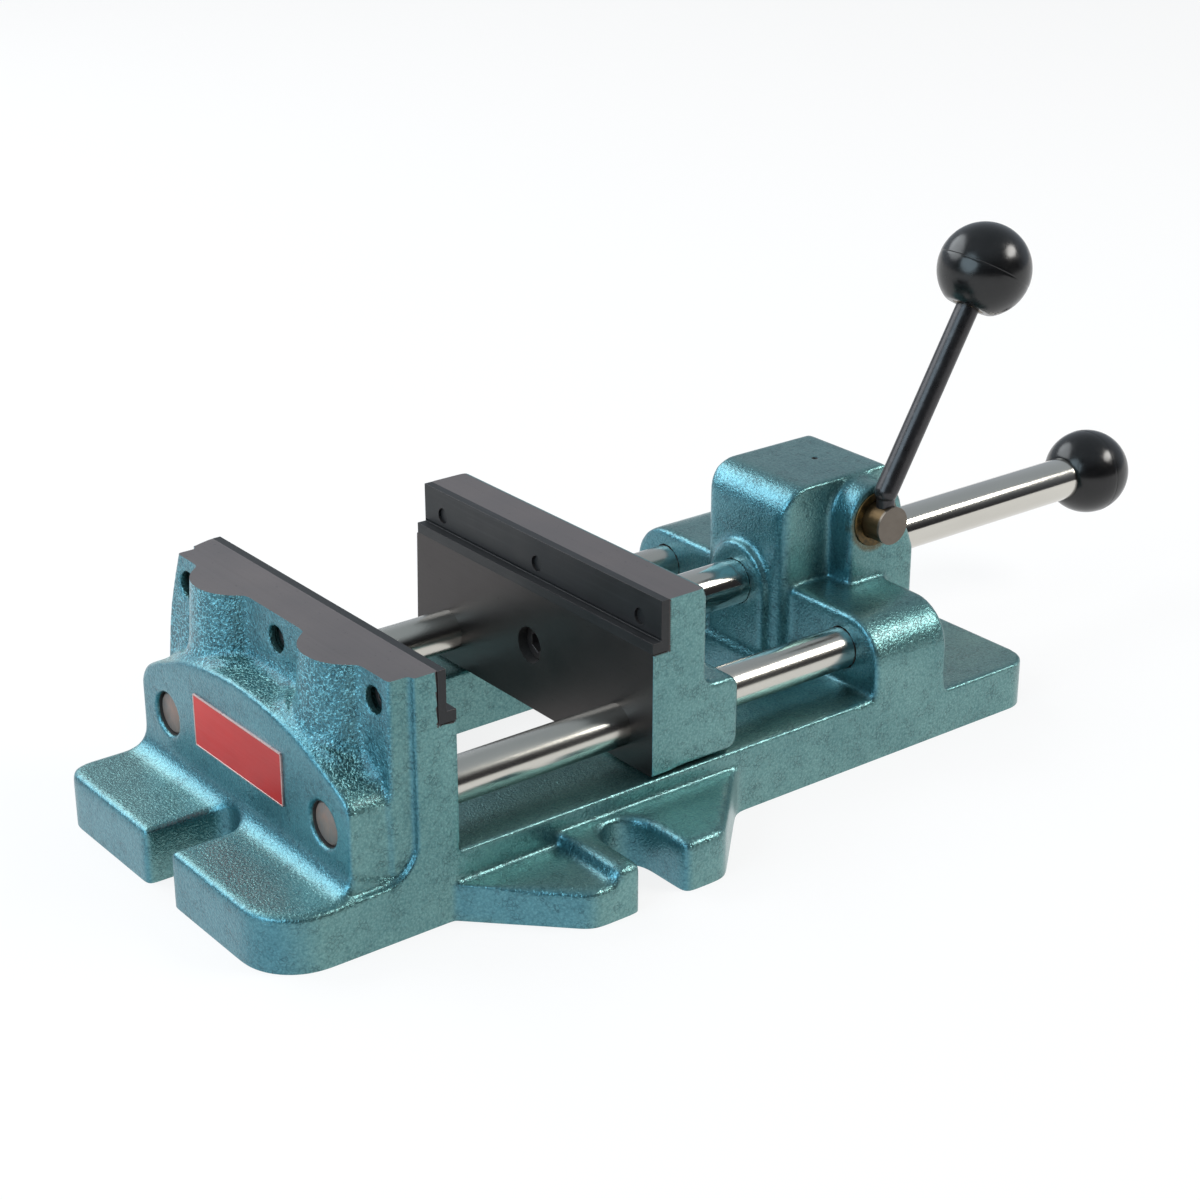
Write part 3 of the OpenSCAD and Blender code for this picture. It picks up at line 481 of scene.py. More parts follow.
def hammertone_paint():
    """Teal metallic paint whose skin is drawn into small cells over a rough casting."""
    paint = bpy.context.scene.vise_paint
    finish, tree, shader, where = blank_finish("hammertone_paint")
    stir = add(tree, "ShaderNodeTexNoise", {"Vector": where, "Scale": 620.0, "Detail": 2.0}).outputs["Color"]
    stirred = add(tree, "ShaderNodeVectorMath", {0: stir, 1: (1.1 * MM, 1.1 * MM, 1.1 * MM), 2: where},
                  operation="MULTIPLY_ADD").outputs["Vector"]
    cells = add(tree, "ShaderNodeTexVoronoi", {"Vector": stirred, "Scale": 1 / paint.grain,
                                               "Smoothness": 0.7}, feature="SMOOTH_F1").outputs["Distance"]
    fine = noise(tree, where, 1300.0, 2.0, 0.6)
    broad = noise(tree, where, 24.0, 3.0, 0.6)
    sand = noise(tree, where, 330.0, 3.0, 0.6)
    grain = maths(tree, "ADD", maths(tree, "MULTIPLY", cells, 0.7), maths(tree, "MULTIPLY", fine, 0.5))
    share = spread(tree, grain, 0.25, 0.85, 0.8, 0.2)
    share = maths(tree, "ADD", share, spread(tree, broad, 0.35, 0.7, -0.16, 0.16), clamp=True)
    colour = tint(tree, share, rgba(paint.dark), rgba(paint.light))
    pits = spread(tree, sand, 0.6, 0.72)
    colour = tint(tree, maths(tree, "MULTIPLY", pits, 0.4), colour, (0.03, 0.085, 0.1, 1.0))
    # Short dark flecks where the skin has drawn apart
    rifts = add(tree, "ShaderNodeTexVoronoi", {"Vector": stirred, "Scale": 0.6 / paint.grain},
                feature="DISTANCE_TO_EDGE").outputs["Distance"]
    flecks = maths(tree, "MULTIPLY", spread(tree, rifts, 0.03, 0.14, 1.0, 0.0),
                   spread(tree, noise(tree, where, 150.0, 3.0, 0.65), 0.5, 0.62))
    colour = tint(tree, maths(tree, "MULTIPLY", flecks, 0.5), colour, (0.025, 0.075, 0.085, 1.0))
    # Oil that has crept out round the cam shaft, darkened also as the shaft's painted contact shadow, so the
    # ring reaches a little further below it
    parts = add(tree, "ShaderNodeSeparateXYZ", {"Vector": where}).outputs
    from_shaft = add(tree, "ShaderNodeVectorMath", {
        0: add(tree, "ShaderNodeCombineXYZ", {"X": parts["X"], "Z": parts["Z"]}).outputs[0],
        1: (CAM_X - 0.4 * MM, 0.0, CAM_Z - 1.4 * MM)}, operation="DISTANCE").outputs["Value"]
    creep = maths(tree, "ADD", from_shaft, maths(tree, "MULTIPLY", noise(tree, where, 260.0), 2.2 * MM))
    on_boss = maths(tree, "LESS_THAN", parts["Y"], SHAFT[0].y + 14 * MM)
    oil = maths(tree, "MULTIPLY", spread(tree, creep, 12.6 * MM, 14.2 * MM, 0.8, 0.0), on_boss)
    colour = tint(tree, oil, colour, (0.1, 0.075, 0.03, 1.0))
    # The fixed jaw's front is rougher than the flats; its hollows are darkened as painted shade, and thin
    # lines between them are lightened as a painted sparkle highlight
    bulges = maths(tree, "MULTIPLY", spread(tree, parts["X"], -24.0 * MM, -28.0 * MM),
                   spread(tree, parts["Z"], 50 * MM, 60 * MM))
    bulges = maths(tree, "MULTIPLY", bulges, spread(tree, parts["X"], BOSS_X + 1.0 * MM, BOSS_X + 4.0 * MM))
    off_line = maths(tree, "ABSOLUTE", maths(tree, "SUBTRACT", noise(tree, where, 560.0, 1.5, 0.5), 0.5))
    sparkle_veins = spread(tree, off_line, 0.0, 0.055, 1.0, 0.0)
    hollows = maths(tree, "MULTIPLY", spread(tree, off_line, 0.06, 0.14), bulges)
    colour = tint(tree, maths(tree, "MULTIPLY", hollows, 0.4), colour, rgba(Vector(paint.dark) * 0.6))
    colour = tint(tree, maths(tree, "MULTIPLY", sparkle_veins, spread(tree, bulges, 0.0, 1.0, 0.1, 0.7)), colour,
                  rgba(Vector(paint.light) * 2.2))
    # Painted light: skin that looks forwards is tinted bluer and darker, as the cool fill before the jaw
    # would light it
    forwards = add(tree, "ShaderNodeAttribute", attribute_name="front_light_share").outputs["Fac"]
    colour = tint(tree, forwards, colour, (0.62, 0.86, 1.06, 1.0), "MULTIPLY")
    height = maths(tree, "ADD", maths(tree, "MULTIPLY", cells, 0.6), maths(tree, "MULTIPLY", fine, 0.4))
    height = maths(tree, "ADD", height, maths(tree, "MULTIPLY", sand, -0.5))
    height = maths(tree, "ADD", height, maths(tree, "MULTIPLY", flecks, -0.3))
    height = maths(tree, "ADD", height, maths(tree, "MULTIPLY", sparkle_veins, 0.25))
    height = maths(tree, "MULTIPLY", height, spread(tree, bulges, 0.0, 1.0, 0.5, 2.2))
    wire(tree, shader, colour=colour, metal=0.88, rough=spread(tree, share, 0.0, 1.0, 0.37, 0.28),
         normal=dent(tree, height, 1.0, 0.36 * MM))
    shader.inputs["Coat Weight"].default_value = 0.3
    shader.inputs["Coat Roughness"].default_value = 0.24
    return finish


def ground_iron(name, share, rough):
    """Bare iron, ground across the jaw, with an oily brown cast."""
    steel = bpy.context.scene.vise_steel
    finish, tree, shader, where = blank_finish(name)
    lines = noise(tree, stretched(tree, where, (900.0, 9.0, 900.0)), 1.0, 3.0, 0.7)
    clouds = noise(tree, where, 34.0, 3.0, 0.55)
    specks = noise(tree, where, 520.0, 2.0, 0.6)
    base = Vector(steel.ground) * share
    colour = tint(tree, clouds, rgba(base * 0.86), rgba((base.x * 1.16, base.y * 1.12, base.z * 1.1)))
    colour = tint(tree, spread(tree, lines, 0.3, 0.75, 0.0, 0.2), colour, rgba(base * 1.4))
    colour = tint(tree, spread(tree, specks, 0.66, 0.76, 0.0, 0.45), colour, rgba(base * 0.4))
    wire(tree, shader, colour=colour, metal=0.75,
         rough=spread(tree, clouds, 0.3, 0.7, rough - 0.06, rough + 0.06),
         normal=dent(tree, lines, 0.06, 0.05 * MM))
    return finish


def bore_iron():
    finish, tree, shader, where = blank_finish("bore_iron")
    grime = noise(tree, where, 160.0, 3.0, 0.6)
    colour = tint(tree, grime, (0.035, 0.034, 0.034, 1.0), (0.13, 0.12, 0.115, 1.0))
    wire(tree, shader, colour=colour, metal=0.6, rough=0.5, normal=dent(tree, grime, 0.15, 0.2 * MM))
    return finish


def blackened_steel():
    steel = bpy.context.scene.vise_steel
    finish, tree, shader, where = blank_finish("blackened_steel")
    clouds = noise(tree, where, 60.0, 4.0, 0.6)
    brushed = noise(tree, stretched(tree, where, (700.0, 14.0, 700.0)), 1.0, 2.0, 0.6)
    base = Vector(steel.oxide)
    colour = tint(tree, clouds, rgba(base * 0.7), rgba(base * 1.5))
    colour = tint(tree, spread(tree, brushed, 0.55, 0.8, 0.0, 0.4), colour, rgba(base * 2.4))
    wire(tree, shader, colour=colour, metal=0.2, rough=spread(tree, clouds, 0.3, 0.7, 0.38, 0.52),
         normal=dent(tree, brushed, 0.08, 0.06 * MM))
    shader.inputs["Specular IOR Level"].default_value = 0.35
    return finish


def sawn_end():
    """The dull, faintly rusty end of a rod that was cut off and left so."""
    finish, tree, shader, where = blank_finish("sawn_end")
    rust = noise(tree, where, 210.0, 4.0, 0.62)
    marks = noise(tree, stretched(tree, where, (200.0, 1400.0, 260.0)), 1.0, 2.0, 0.6)
    colour = tint(tree, spread(tree, rust, 0.35, 0.68), (0.21, 0.19, 0.18, 1.0), (0.3, 0.2, 0.165, 1.0))
    wire(tree, shader, colour=colour, metal=0.55, rough=spread(tree, marks, 0.3, 0.7, 0.42, 0.6),
         normal=dent(tree, marks, 0.2, 0.06 * MM))
    return finish


def polished_rod(name, rough):
    steel = bpy.context.scene.vise_steel
    finish, tree, shader, where = blank_finish(name)
    rings = noise(tree, stretched(tree, where, (2600.0, 12.0, 12.0)), 1.0, 2.0, 0.6)
    smears = noise(tree, stretched(tree, where, (14.0, 90.0, 90.0)), 1.0, 3.0, 0.6)
    base = Vector(steel.rod)
    colour = tint(tree, smears, rgba(base * 0.86), rgba(base * 1.08))
    wire(tree, shader, colour=colour, metal=1.0,
         rough=spread(tree, smears, 0.3, 0.7, rough * 0.8, rough * 1.2),
         normal=dent(tree, rings, 0.06, 0.03 * MM))
    return finish


def machined_steel():
    finish, tree, shader, where = blank_finish("machined_steel")
    brushed = noise(tree, stretched(tree, where, (60.0, 900.0, 60.0)), 1.0, 3.0, 0.6)
    clouds = noise(tree, where, 80.0, 3.0, 0.6)
    colour = tint(tree, clouds, (0.24, 0.235, 0.23, 1.0), (0.42, 0.42, 0.43, 1.0))
    wire(tree, shader, colour=colour, metal=0.95, rough=spread(tree, brushed, 0.3, 0.7, 0.3, 0.46),
         normal=dent(tree, brushed, 0.12, 0.05 * MM))
    return finish


def oiled_bronze():
    finish, tree, shader, where = blank_finish("oiled_bronze")
    grime = noise(tree, where, 330.0, 4.0, 0.65)
    colour = tint(tree, spread(tree, grime, 0.38, 0.7), (0.05, 0.036, 0.014, 1.0), (0.22, 0.13, 0.04, 1.0))
    wire(tree, shader, colour=colour, metal=0.7, rough=spread(tree, grime, 0.3, 0.7, 0.3, 0.55),
         normal=dent(tree, grime, 0.15, 0.1 * MM))
    return finish


def browned_steel():
    """Steel that oil has browned, brightest on the shaft's outer end."""
    finish, tree, shader, where = blank_finish("browned_steel")
    turning = noise(tree, stretched(tree, where, (500.0, 60.0, 500.0)), 1.0, 3.0, 0.6)
    clouds = noise(tree, where, 130.0, 3.0, 0.6)
    along = add(tree, "ShaderNodeSeparateXYZ", {"Vector": where}).outputs["Y"]
    out = spread(tree, along, SHAFT[0].y + 1.4 * MM, SHAFT[0].y + 0.5 * MM)
    oily = tint(tree, clouds, (0.05, 0.03, 0.012, 1.0), (0.13, 0.085, 0.04, 1.0))
    bare = tint(tree, clouds, (0.125, 0.105, 0.085, 1.0), (0.19, 0.165, 0.14, 1.0))
    wire(tree, shader, colour=tint(tree, out, oily, bare), metal=0.85,
         rough=spread(tree, turning, 0.3, 0.7, 0.3, 0.46), normal=dent(tree, turning, 0.1, 0.06 * MM))
    return finish


def satin_black():
    finish, tree, shader, where = blank_finish("satin_black")
    scuffs = noise(tree, where, 190.0, 4.0, 0.65)
    colour = tint(tree, spread(tree, scuffs, 0.55, 0.8, 0.0, 0.7), (0.05, 0.048, 0.05, 1.0),
                  (0.11, 0.107, 0.11, 1.0))
    wire(tree, shader, colour=colour, metal=0.8, rough=spread(tree, scuffs, 0.3, 0.7, 0.24, 0.36),
         normal=dent(tree, scuffs, 0.08, 0.1 * MM))
    return finish


def moulded_ball():
    """Phenolic ball with a soft gloss and faint flow marks."""
    finish, tree, shader, where = blank_finish("moulded_ball")
    flow = noise(tree, where, 45.0, 3.0, 0.55)
    dust = noise(tree, where, 420.0, 2.0, 0.5)
    colour = tint(tree, spread(tree, flow, 0.35, 0.7), (0.004, 0.004, 0.0043, 1.0),
                  (0.009, 0.0087, 0.0087, 1.0))
    wire(tree, shader, colour=colour, rough=spread(tree, dust, 0.3, 0.75, 0.18, 0.28),
         normal=dent(tree, flow, 0.03, 0.3 * MM))
    return finish


def plate_red():
    """Red foil lacquer with a fine brushed grain, and a painted sheen that lightens it towards the far end.
    """
    paint = bpy.context.scene.vise_paint
    finish, tree, shader, where = blank_finish("plate_red")
    brushed = noise(tree, stretched(tree, where, (300.0, 30.0, 900.0)), 1.0, 3.0, 0.6)
    clouds = noise(tree, where, 90.0, 3.0, 0.55)
    base = Vector(paint.red)
    # Painted sheen: the red grows lighter towards the plate's far end, as the light falls on it
    along = add(tree, "ShaderNodeSeparateXYZ", {"Vector": where}).outputs["Y"]
    depth = maths(tree, "ADD", maths(tree, "MULTIPLY", clouds, 0.5),
                  spread(tree, along, PLATE[0].y, PLATE[1].y, -0.1, 0.6), clamp=True)
    colour = tint(tree, depth, rgba(base * 0.72), rgba(base * 1.12))
    wire(tree, shader, colour=colour, rough=spread(tree, brushed, 0.3, 0.7, 0.3, 0.4),
         normal=dent(tree, brushed, 0.04, 0.05 * MM))
    shader.inputs["Specular IOR Level"].default_value = 0.3
    return finish


def plate_rim():
    finish, tree, shader, where = blank_finish("plate_rim")
    wear = noise(tree, where, 500.0, 3.0, 0.6)
    colour = tint(tree, wear, (0.36, 0.2, 0.19, 1.0), (0.66, 0.5, 0.48, 1.0))
    wire(tree, shader, colour=colour, metal=0.8, rough=spread(tree, wear, 0.3, 0.7, 0.25, 0.4),
         normal=dent(tree, wear, 0.05, 0.05 * MM))
    return finish


def shared(make, *words):
    """A finish that pieces share, made by the first that needs it and named by its function or first word."""
    return bpy.data.materials.get(words[0] if words else make.__name__) or make(*words)


# Bare worn steel on broken edges, made lighter as a painted highlight where the edges catch the light
def worn_edge():
    return shared(ground_iron, "worn_edge", 0.5, 0.36)


def dress_casting(piece, which):
    """Gives a casting's faces their finishes, and readies its points for the paint's painted front light."""
    mesh = piece.data
    # The jaw faces take the ground iron at 0.3 of the tops' brightness, as painted shade between the jaws
    for finish in (shared(hammertone_paint), shared(ground_iron, "ground_top", 1.0, 0.42),
                   shared(ground_iron, "jaw_face", 0.3, 0.36), shared(bore_iron)):
        mesh.materials.append(finish)
    mesh.polygons.foreach_set("material_index", which)
    mark_front(piece)
    smooth_shade(piece, CAST_EDGE)


# Operators


class VISE_OT_base_casting(bpy.types.Operator):
    """Round the base casting, grind its jaw top and underside, and paint the rest"""

    bl_idname = "vise.base_casting"
    bl_label = "Base casting"

    def execute(self, context):
        settings = context.scene.vise_casting
        jaw_top = JAW_TOP / MM
        rod_y, rod_z, rod_r = ROD_Y / MM, ROD_Z / MM, ROD_R / MM
        seat_x, seat_z = INSERT_LOW.x / MM, INSERT_LOW.z / MM
        shaft_near, boss_x, screw_z = SHAFT[0].y / MM, BOSS_X / MM, SCREW_Z / MM
        jaw_side = JAW_SIDE / MM
        # Half the width of zones that reach past both ends of the jaw
        wide = 78

        def keep(p):
            """Leaves the jaw's face and seat, and the edges of the bores, as crisp as the solids."""
            crisp = box_zone(p, (-2.5, -wide, 30), (1.5, wide, jaw_top))
            crisp |= box_zone(p, (seat_x - 2.0, -wide, seat_z - 2.0), (1.5, wide, jaw_top + 6))
            for y in (-rod_y, rod_y):
                crisp |= round_zone(p, 0, (y, rod_z), rod_r + 2.4, -46, -34)
                crisp |= round_zone(p, 0, (y, rod_z), rod_r + 1.4, 196, 240)
            for y in SCREW_ROW:
                crisp |= round_zone(p, 0, (y, screw_z), 6.6, -37, -10)
            crisp |= round_zone(p, 0, (0, PLUNGER_Z / MM), PLUNGER_R / MM + 1.6, 185, 260)
            crisp |= round_zone(p, 1, (CAM_X / MM, CAM_Z / MM), 11.5, shaft_near, 30)
            crisp |= round_zone(p, 2, (CAM_X / MM, 0), 2.6, 90, 101)
            return ~crisp * 1.0

        def softest(p):
            """Rounds the jaw's front, the foot, the ears and the rear more than the rest."""
            x, y, z = p[:, 0], np.abs(p[:, 1]), p[:, 2]
            side = fade(y, 66, 70)
            jaw_front = 0.4 * fade(z, 44, 54) * (fade(-x, 13, 19) * (1 - side) + fade(-x, 29, 33) * side)
            foot = 0.5 * fade(-x, 38, 46)
            ears = fade(y, 77, 83) * fade(x, 8, 16) * fade(-x, -140, -132)
            rear = (0.65 - 0.3 * fade(z, 62, 70)) * fade(x, 187, 192) * fade(z, 21, 26)
            return keep(p) * np.maximum.reduce((jaw_front, foot, ears, rear))

        def shape_ends(p):
            """Moves the skin's points, in mm, to the casting's fuller forms."""
            x, z = p[:, 0].copy(), p[:, 2].copy()
            # The far end's upper corner is cut back
            rise = fade(z, 66, jaw_top)
            along = fade(-x, 5, 25)
            most = jaw_side - FAR_CORNER_CUT * rise * along * along * (3 - 2 * along)
            far = (z > 66) & (x < 1) & (p[:, 1] > most)
            p[far, 1] = most[far]
            # A cove sweeps from the boss's arched edge up to the bulges
            arch = np.sqrt(np.maximum(ARCH_RADIUS ** 2 - p[:, 1] ** 2, 0)) + ARCH_TOP - ARCH_RADIUS
            land = (np.abs(z - arch) < 1.2) & (x > boss_x) & (x < -22) & (np.abs(p[:, 1]) < 58)
            from_bulge = np.hypot(x - BULGE_X, np.abs(p[:, 1]) - SCREW_Y / MM / 2 - BULGE_OUT)
            lift = np.minimum(0.085 * np.maximum(x - boss_x - 0.6, 0) ** 2, COVE_RISE)
            p[land, 2] += (lift * (1 - fade(from_bulge, 23, 29)))[land]
            # The cheek before the near side wall stands back from it
            step = jaw_side - CHEEK_STEP * fade(-x, 24.4, 26.6)
            cheek = (p[:, 1] < -step) & (x < -24.4) & (z > 24 + 0.02 * (x + 24) ** 2)
            p[cheek, 1] = -step[cheek]
            # The screw holes narrow in front of the screws
            for y in SCREW_ROW:
                hole = round_zone(p, 0, (y, screw_z), 7.2, -60, SCREWS[0].x / MM - 0.8)
                off = np.hypot(p[hole, 1] - y, p[hole, 2] - screw_z)
                pull = 1 - HOLE_NARROWING * (1 - fade(off, 5.8, 7.2))
                p[hole, 1] = y + (p[hole, 1] - y) * pull
                p[hole, 2] = screw_z + (p[hole, 2] - screw_z) * pull
            # The bulges swell, the front leans forwards and the far end spreads towards the foot
            down = fade(jaw_top - z, 0, 46) * fade(z, 44, 52)
            front = fade(-x, 20, 26) * (1 - fade(-x, -boss_x - 6, -boss_x - 1.5))
            far_end = fade(p[:, 1], 54, 62)
            lean = down * front
            for side in (-1, 1):
                from_x, from_y = x - BULGE_X, p[:, 1] - side * (SCREW_Y / MM / 2 + BULGE_OUT)
                away = np.maximum(np.hypot(from_x, from_y), 1.0)
                swell = BULGE_SWELL * lean * (1 - fade(away, 21, 26)) / away
                p[:, 0] += swell * from_x
                p[:, 1] += swell * from_y
            p[:, 0] -= (FRONT_LEAN + FAR_END_LEAN * far_end) * lean
            p[:, 1] += FAR_END_SPREAD * far_end * down * fade(-x, 20, 28) * (1 - fade(-x, 36, 41))
            # The rails' inner walls come up close under the rods
            inner = np.abs(p[:, 1])
            wall = (p[:, 2] < 31) & (p[:, 0] > 6) & (p[:, 0] < 196) & (inner > 40)
            p[:, 1] -= np.where(wall, np.sign(p[:, 1]) * RAIL_SHIFT * (1 - fade(inner, 49, 56)), 0.0)
            return p

        def fixed_jaw(co):
            return co.x < 5 * MM and co.z > 90 * MM

        piece = cast_skin("base_casting", "base_skin", settings.base_faces,
                          [(2, JAW_TOP, 1, fixed_jaw), (2, 0.0, -1, lambda co: co.z < 2 * MM)],
                          [(settings.soft_passes, softest), (settings.base_passes, keep)], shape_ends)
        c, n = face_places(piece.data)
        which = np.full(len(c), PAINTED, dtype=np.int32)
        on_top = box_zone(c, (-60, -wide, jaw_top - 0.06), (seat_x + 1.0, wide, jaw_top + 0.06))
        which[(n[:, 0] > 0.8) & box_zone(c, (-1.5, -wide, 27), (1.0, wide, jaw_top))] = JAW_FACE
        which[box_zone(c, (seat_x - 0.7, -wide, seat_z - 0.7), (1.0, wide, jaw_top - 0.05))] = JAW_FACE
        which[(n[:, 2] > 0.9) & on_top] = GROUND_TOP
        which[(n[:, 2] < -0.9) & (c[:, 2] < 0.5)] = GROUND_TOP
        for y in (-rod_y, rod_y):
            which[round_zone(c, 0, (y, rod_z), rod_r + 0.5, boss_x + 1.3, ROD_NEAR[1].x / MM + 0.4)] = BORE
        which[round_zone(c, 0, (0, PLUNGER_Z / MM), PLUNGER_R / MM + 0.5, 192, 260)] = BORE
        which[round_zone(c, 2, (CAM_X / MM, 0), 1.9, 90, 99.2)] = BORE
        dress_casting(piece, which)
        stand_for(piece, "base", "hammertone_iron", "base_casting")
        return {"FINISHED"}


class VISE_OT_moving_jaw(bpy.types.Operator):
    """Round the moving jaw, grind its face and top and paint the rest"""

    bl_idname = "vise.moving_jaw"
    bl_label = "Moving jaw"

    def execute(self, context):
        settings = context.scene.vise_casting
        face, top, back = OPENING / MM, JAW_TOP / MM, JAW_HIGH.x / MM
        seat_x, seat_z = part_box("moving_jaw_insert")[1].x / MM, INSERT_LOW.z / MM
        rod_y, rod_z, rod_r = ROD_Y / MM, ROD_Z / MM, ROD_R / MM
        # Zones reach from before the jaw's near end to past its far one
        near, far = -80, 82
        # The upper wall's back, and the line behind which its top is painted
        plate_back, margin = face + 25.7, face + 23.5

        def keep(p):
            """Leaves the seat, the bores and the screw holes as crisp as the solids."""
            crisp = box_zone(p, (face - 6, near, seat_z - 1.5), (seat_x + 1.5, far, top + 6))
            for y in (-rod_y, rod_y):
                crisp |= round_zone(p, 0, (y, rod_z), rod_r + 1.5, face - 6, back + 1)
            crisp |= round_zone(p, 0, (0, PLUNGER_Z / MM), PLUNGER_R / MM + 1.2, face - 6, back + 1)
            for y in SCREW_ROW:
                crisp |= round_zone(p, 0, (y, SCREW_Z / MM), 7.0, face + 8, face + 40)
            return ~crisp * 1.0

        def back_edges(p):
            """Rounds what lies behind the face more than the rest."""
            return 0.4 * keep(p) * fade(p[:, 0], face + 8, face + 14)

        def rear_rounding(p):
            """Lets the back edge of the jaw's top fall away."""
            drop = REAR_EDGE_DROP * fade(p[:, 0], plate_back - 3.0, plate_back) ** 2
            p[:, 2] -= drop * fade(p[:, 2], top - 4.2, top + 4.0)
            return p

        piece = cast_skin("moving_jaw", "moving_jaw_skin", settings.jaw_faces,
                          [(0, OPENING, -1, lambda co: co.x < OPENING + 3 * MM),
                           (2, JAW_TOP, 1, lambda co: co.z > JAW_TOP - 3 * MM)],
                          [(settings.soft_passes, back_edges), (settings.jaw_passes, keep)], rear_rounding)
        with edited(piece.data) as bm:
            flat = [f for f in bm.faces
                    if f.normal.z > 0.9 and f.calc_center_median().z > JAW_TOP - 0.06 * MM]
            edges = once(e for f in flat for e in f.edges)
            verts = once(v for f in flat for v in f.verts)
            bmesh.ops.bisect_plane(bm, geom=flat + edges + verts, dist=0.001 * MM,
                                   plane_co=(margin * MM, 0, 0), plane_no=(1, 0, 0))
            bmesh.ops.triangulate(bm, faces=bm.faces)
        c, n = face_places(piece.data)
        which = np.full(len(c), PAINTED, dtype=np.int32)
        which[(n[:, 0] < -0.9) & (c[:, 0] < face + 0.1)] = JAW_FACE
        which[box_zone(c, (face - 1, near, seat_z - 0.7), (seat_x + 0.7, far, top - 0.05))] = JAW_FACE
        which[(n[:, 2] > 0.9) & (c[:, 2] > top - 0.06) & (c[:, 0] < margin)] = GROUND_TOP
        for y in (-rod_y, rod_y):
            which[round_zone(c, 0, (y, rod_z), rod_r + 0.5, face + 0.2, back - 0.5)] = BORE
        which[round_zone(c, 0, (0, PLUNGER_Z / MM), PLUNGER_R / MM, face + 0.2, back - 0.5)] = BORE
        dress_casting(piece, which)
        stand_for(piece, "jaw_carriage", "hammertone_iron", "moving_jaw")
        return {"FINISHED"}


class VISE_OT_step_inserts(bpy.types.Operator):
    """Blacken the step inserts, break their edges and cut the relief above each ledge"""

    bl_idname = "vise.step_inserts"
    bl_label = "Step inserts"

    def execute(self, context):
        edge = context.scene.vise_steel.edge
        for node, body, outward in (("fixed_jaw_insert", "base", 1),
                                    ("moving_jaw_insert", "jaw_carriage", -1)):
            low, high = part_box(node)
            piece = eased_copy(node, node + "_eased", shared(blackened_steel), edge * 1.2)
            wall = (low.x + STEP_WALL) if outward > 0 else (high.x - STEP_WALL)
            ledge = low.z + STEP_LEDGE
            with edited(piece.data) as bm:
                for z in (ledge + RELIEF_LOW, ledge + RELIEF_HIGH):
                    bmesh.ops.bisect_plane(bm, geom=bm.verts[:] + bm.edges[:] + bm.faces[:],
                                           dist=0.001 * MM, plane_co=(0, 0, z), plane_no=(0, 0, 1))
                strip = [f for f in bm.faces if f.normal.x * outward > 0.9
                         and abs(f.calc_center_median().x - wall) < 0.05 * MM
                         and ledge + 0.2 * MM < f.calc_center_median().z < ledge + 1.2 * MM]
                sunk = bmesh.ops.extrude_face_region(bm, geom=strip)
                verts = [v for v in sunk["geom"] if isinstance(v, bmesh.types.BMVert)]
                bmesh.ops.translate(bm, verts=verts, vec=(-outward * RELIEF_DEPTH, 0, 0))
                bmesh.ops.delete(bm, geom=strip, context="FACES")
            # The broken edges take the worn steel: partly real wear, partly painted highlight
            second_finish(piece, worn_edge(), lambda n: max(abs(part) for part in n) < 0.95)
            even_shading(piece)
            stand_for(piece, body, "black_oxide", node)
        return {"FINISHED"}


class VISE_OT_guide_rods(bpy.types.Operator):
    """Turn the guide rods and polish them"""

    bl_idname = "vise.guide_rods"
    bl_label = "Guide rods"

    def execute(self, context):
        finish = shared(polished_rod, "guide_polish", 0.23)
        for node in ("guide_rod_near", "guide_rod_far"):
            low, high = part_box(node)
            r, length = (high.z - low.z) / 2, high.x - low.x
            bevel = 0.9 * MM
            profile = [(0, 0), (0, r - bevel - 0.2 * MM), (0.1 * MM, r - bevel), (bevel, r - 0.1 * MM),
                       (bevel + 0.3 * MM, r), (length - bevel, r), (length, r - bevel), (length, 0)]
            place = (low.x, (low.y + high.y) / 2, (low.z + high.z) / 2)
            piece = spun(node + "_turned", finish, profile, place, (1, 0, 0), 96)
            second_finish(piece, shared(sawn_end), lambda n: abs(n.x) > 0.6)
            stand_for(piece, "base", "ground_steel", node)
        dress_node("guide_rod_set_screws", shared(blackened_steel))
        return {"FINISHED"}


class VISE_OT_plunger(bpy.types.Operator):
    """Polish the plunger rod and dress the screw and washer that hold it"""

    bl_idname = "vise.plunger"
    bl_label = "Plunger"

    def execute(self, context):
        polish = shared(polished_rod, "plunger_polish", 0.12)
        piece = eased_copy("plunger_rod", "plunger_rod_eased", polish, context.scene.vise_steel.edge)
        stand_for(piece, "jaw_carriage", "ground_steel", "plunger_rod")
        worn = shared(ground_iron, "screw_iron", 0.6, 0.4)
        piece = eased_copy("plunger_screw", "plunger_screw_eased", worn, context.scene.vise_steel.edge)
        stand_for(piece, "jaw_carriage", "black_oxide", "plunger_screw")
        dress_node("plunger_washer", shared(machined_steel))
        return {"FINISHED"}


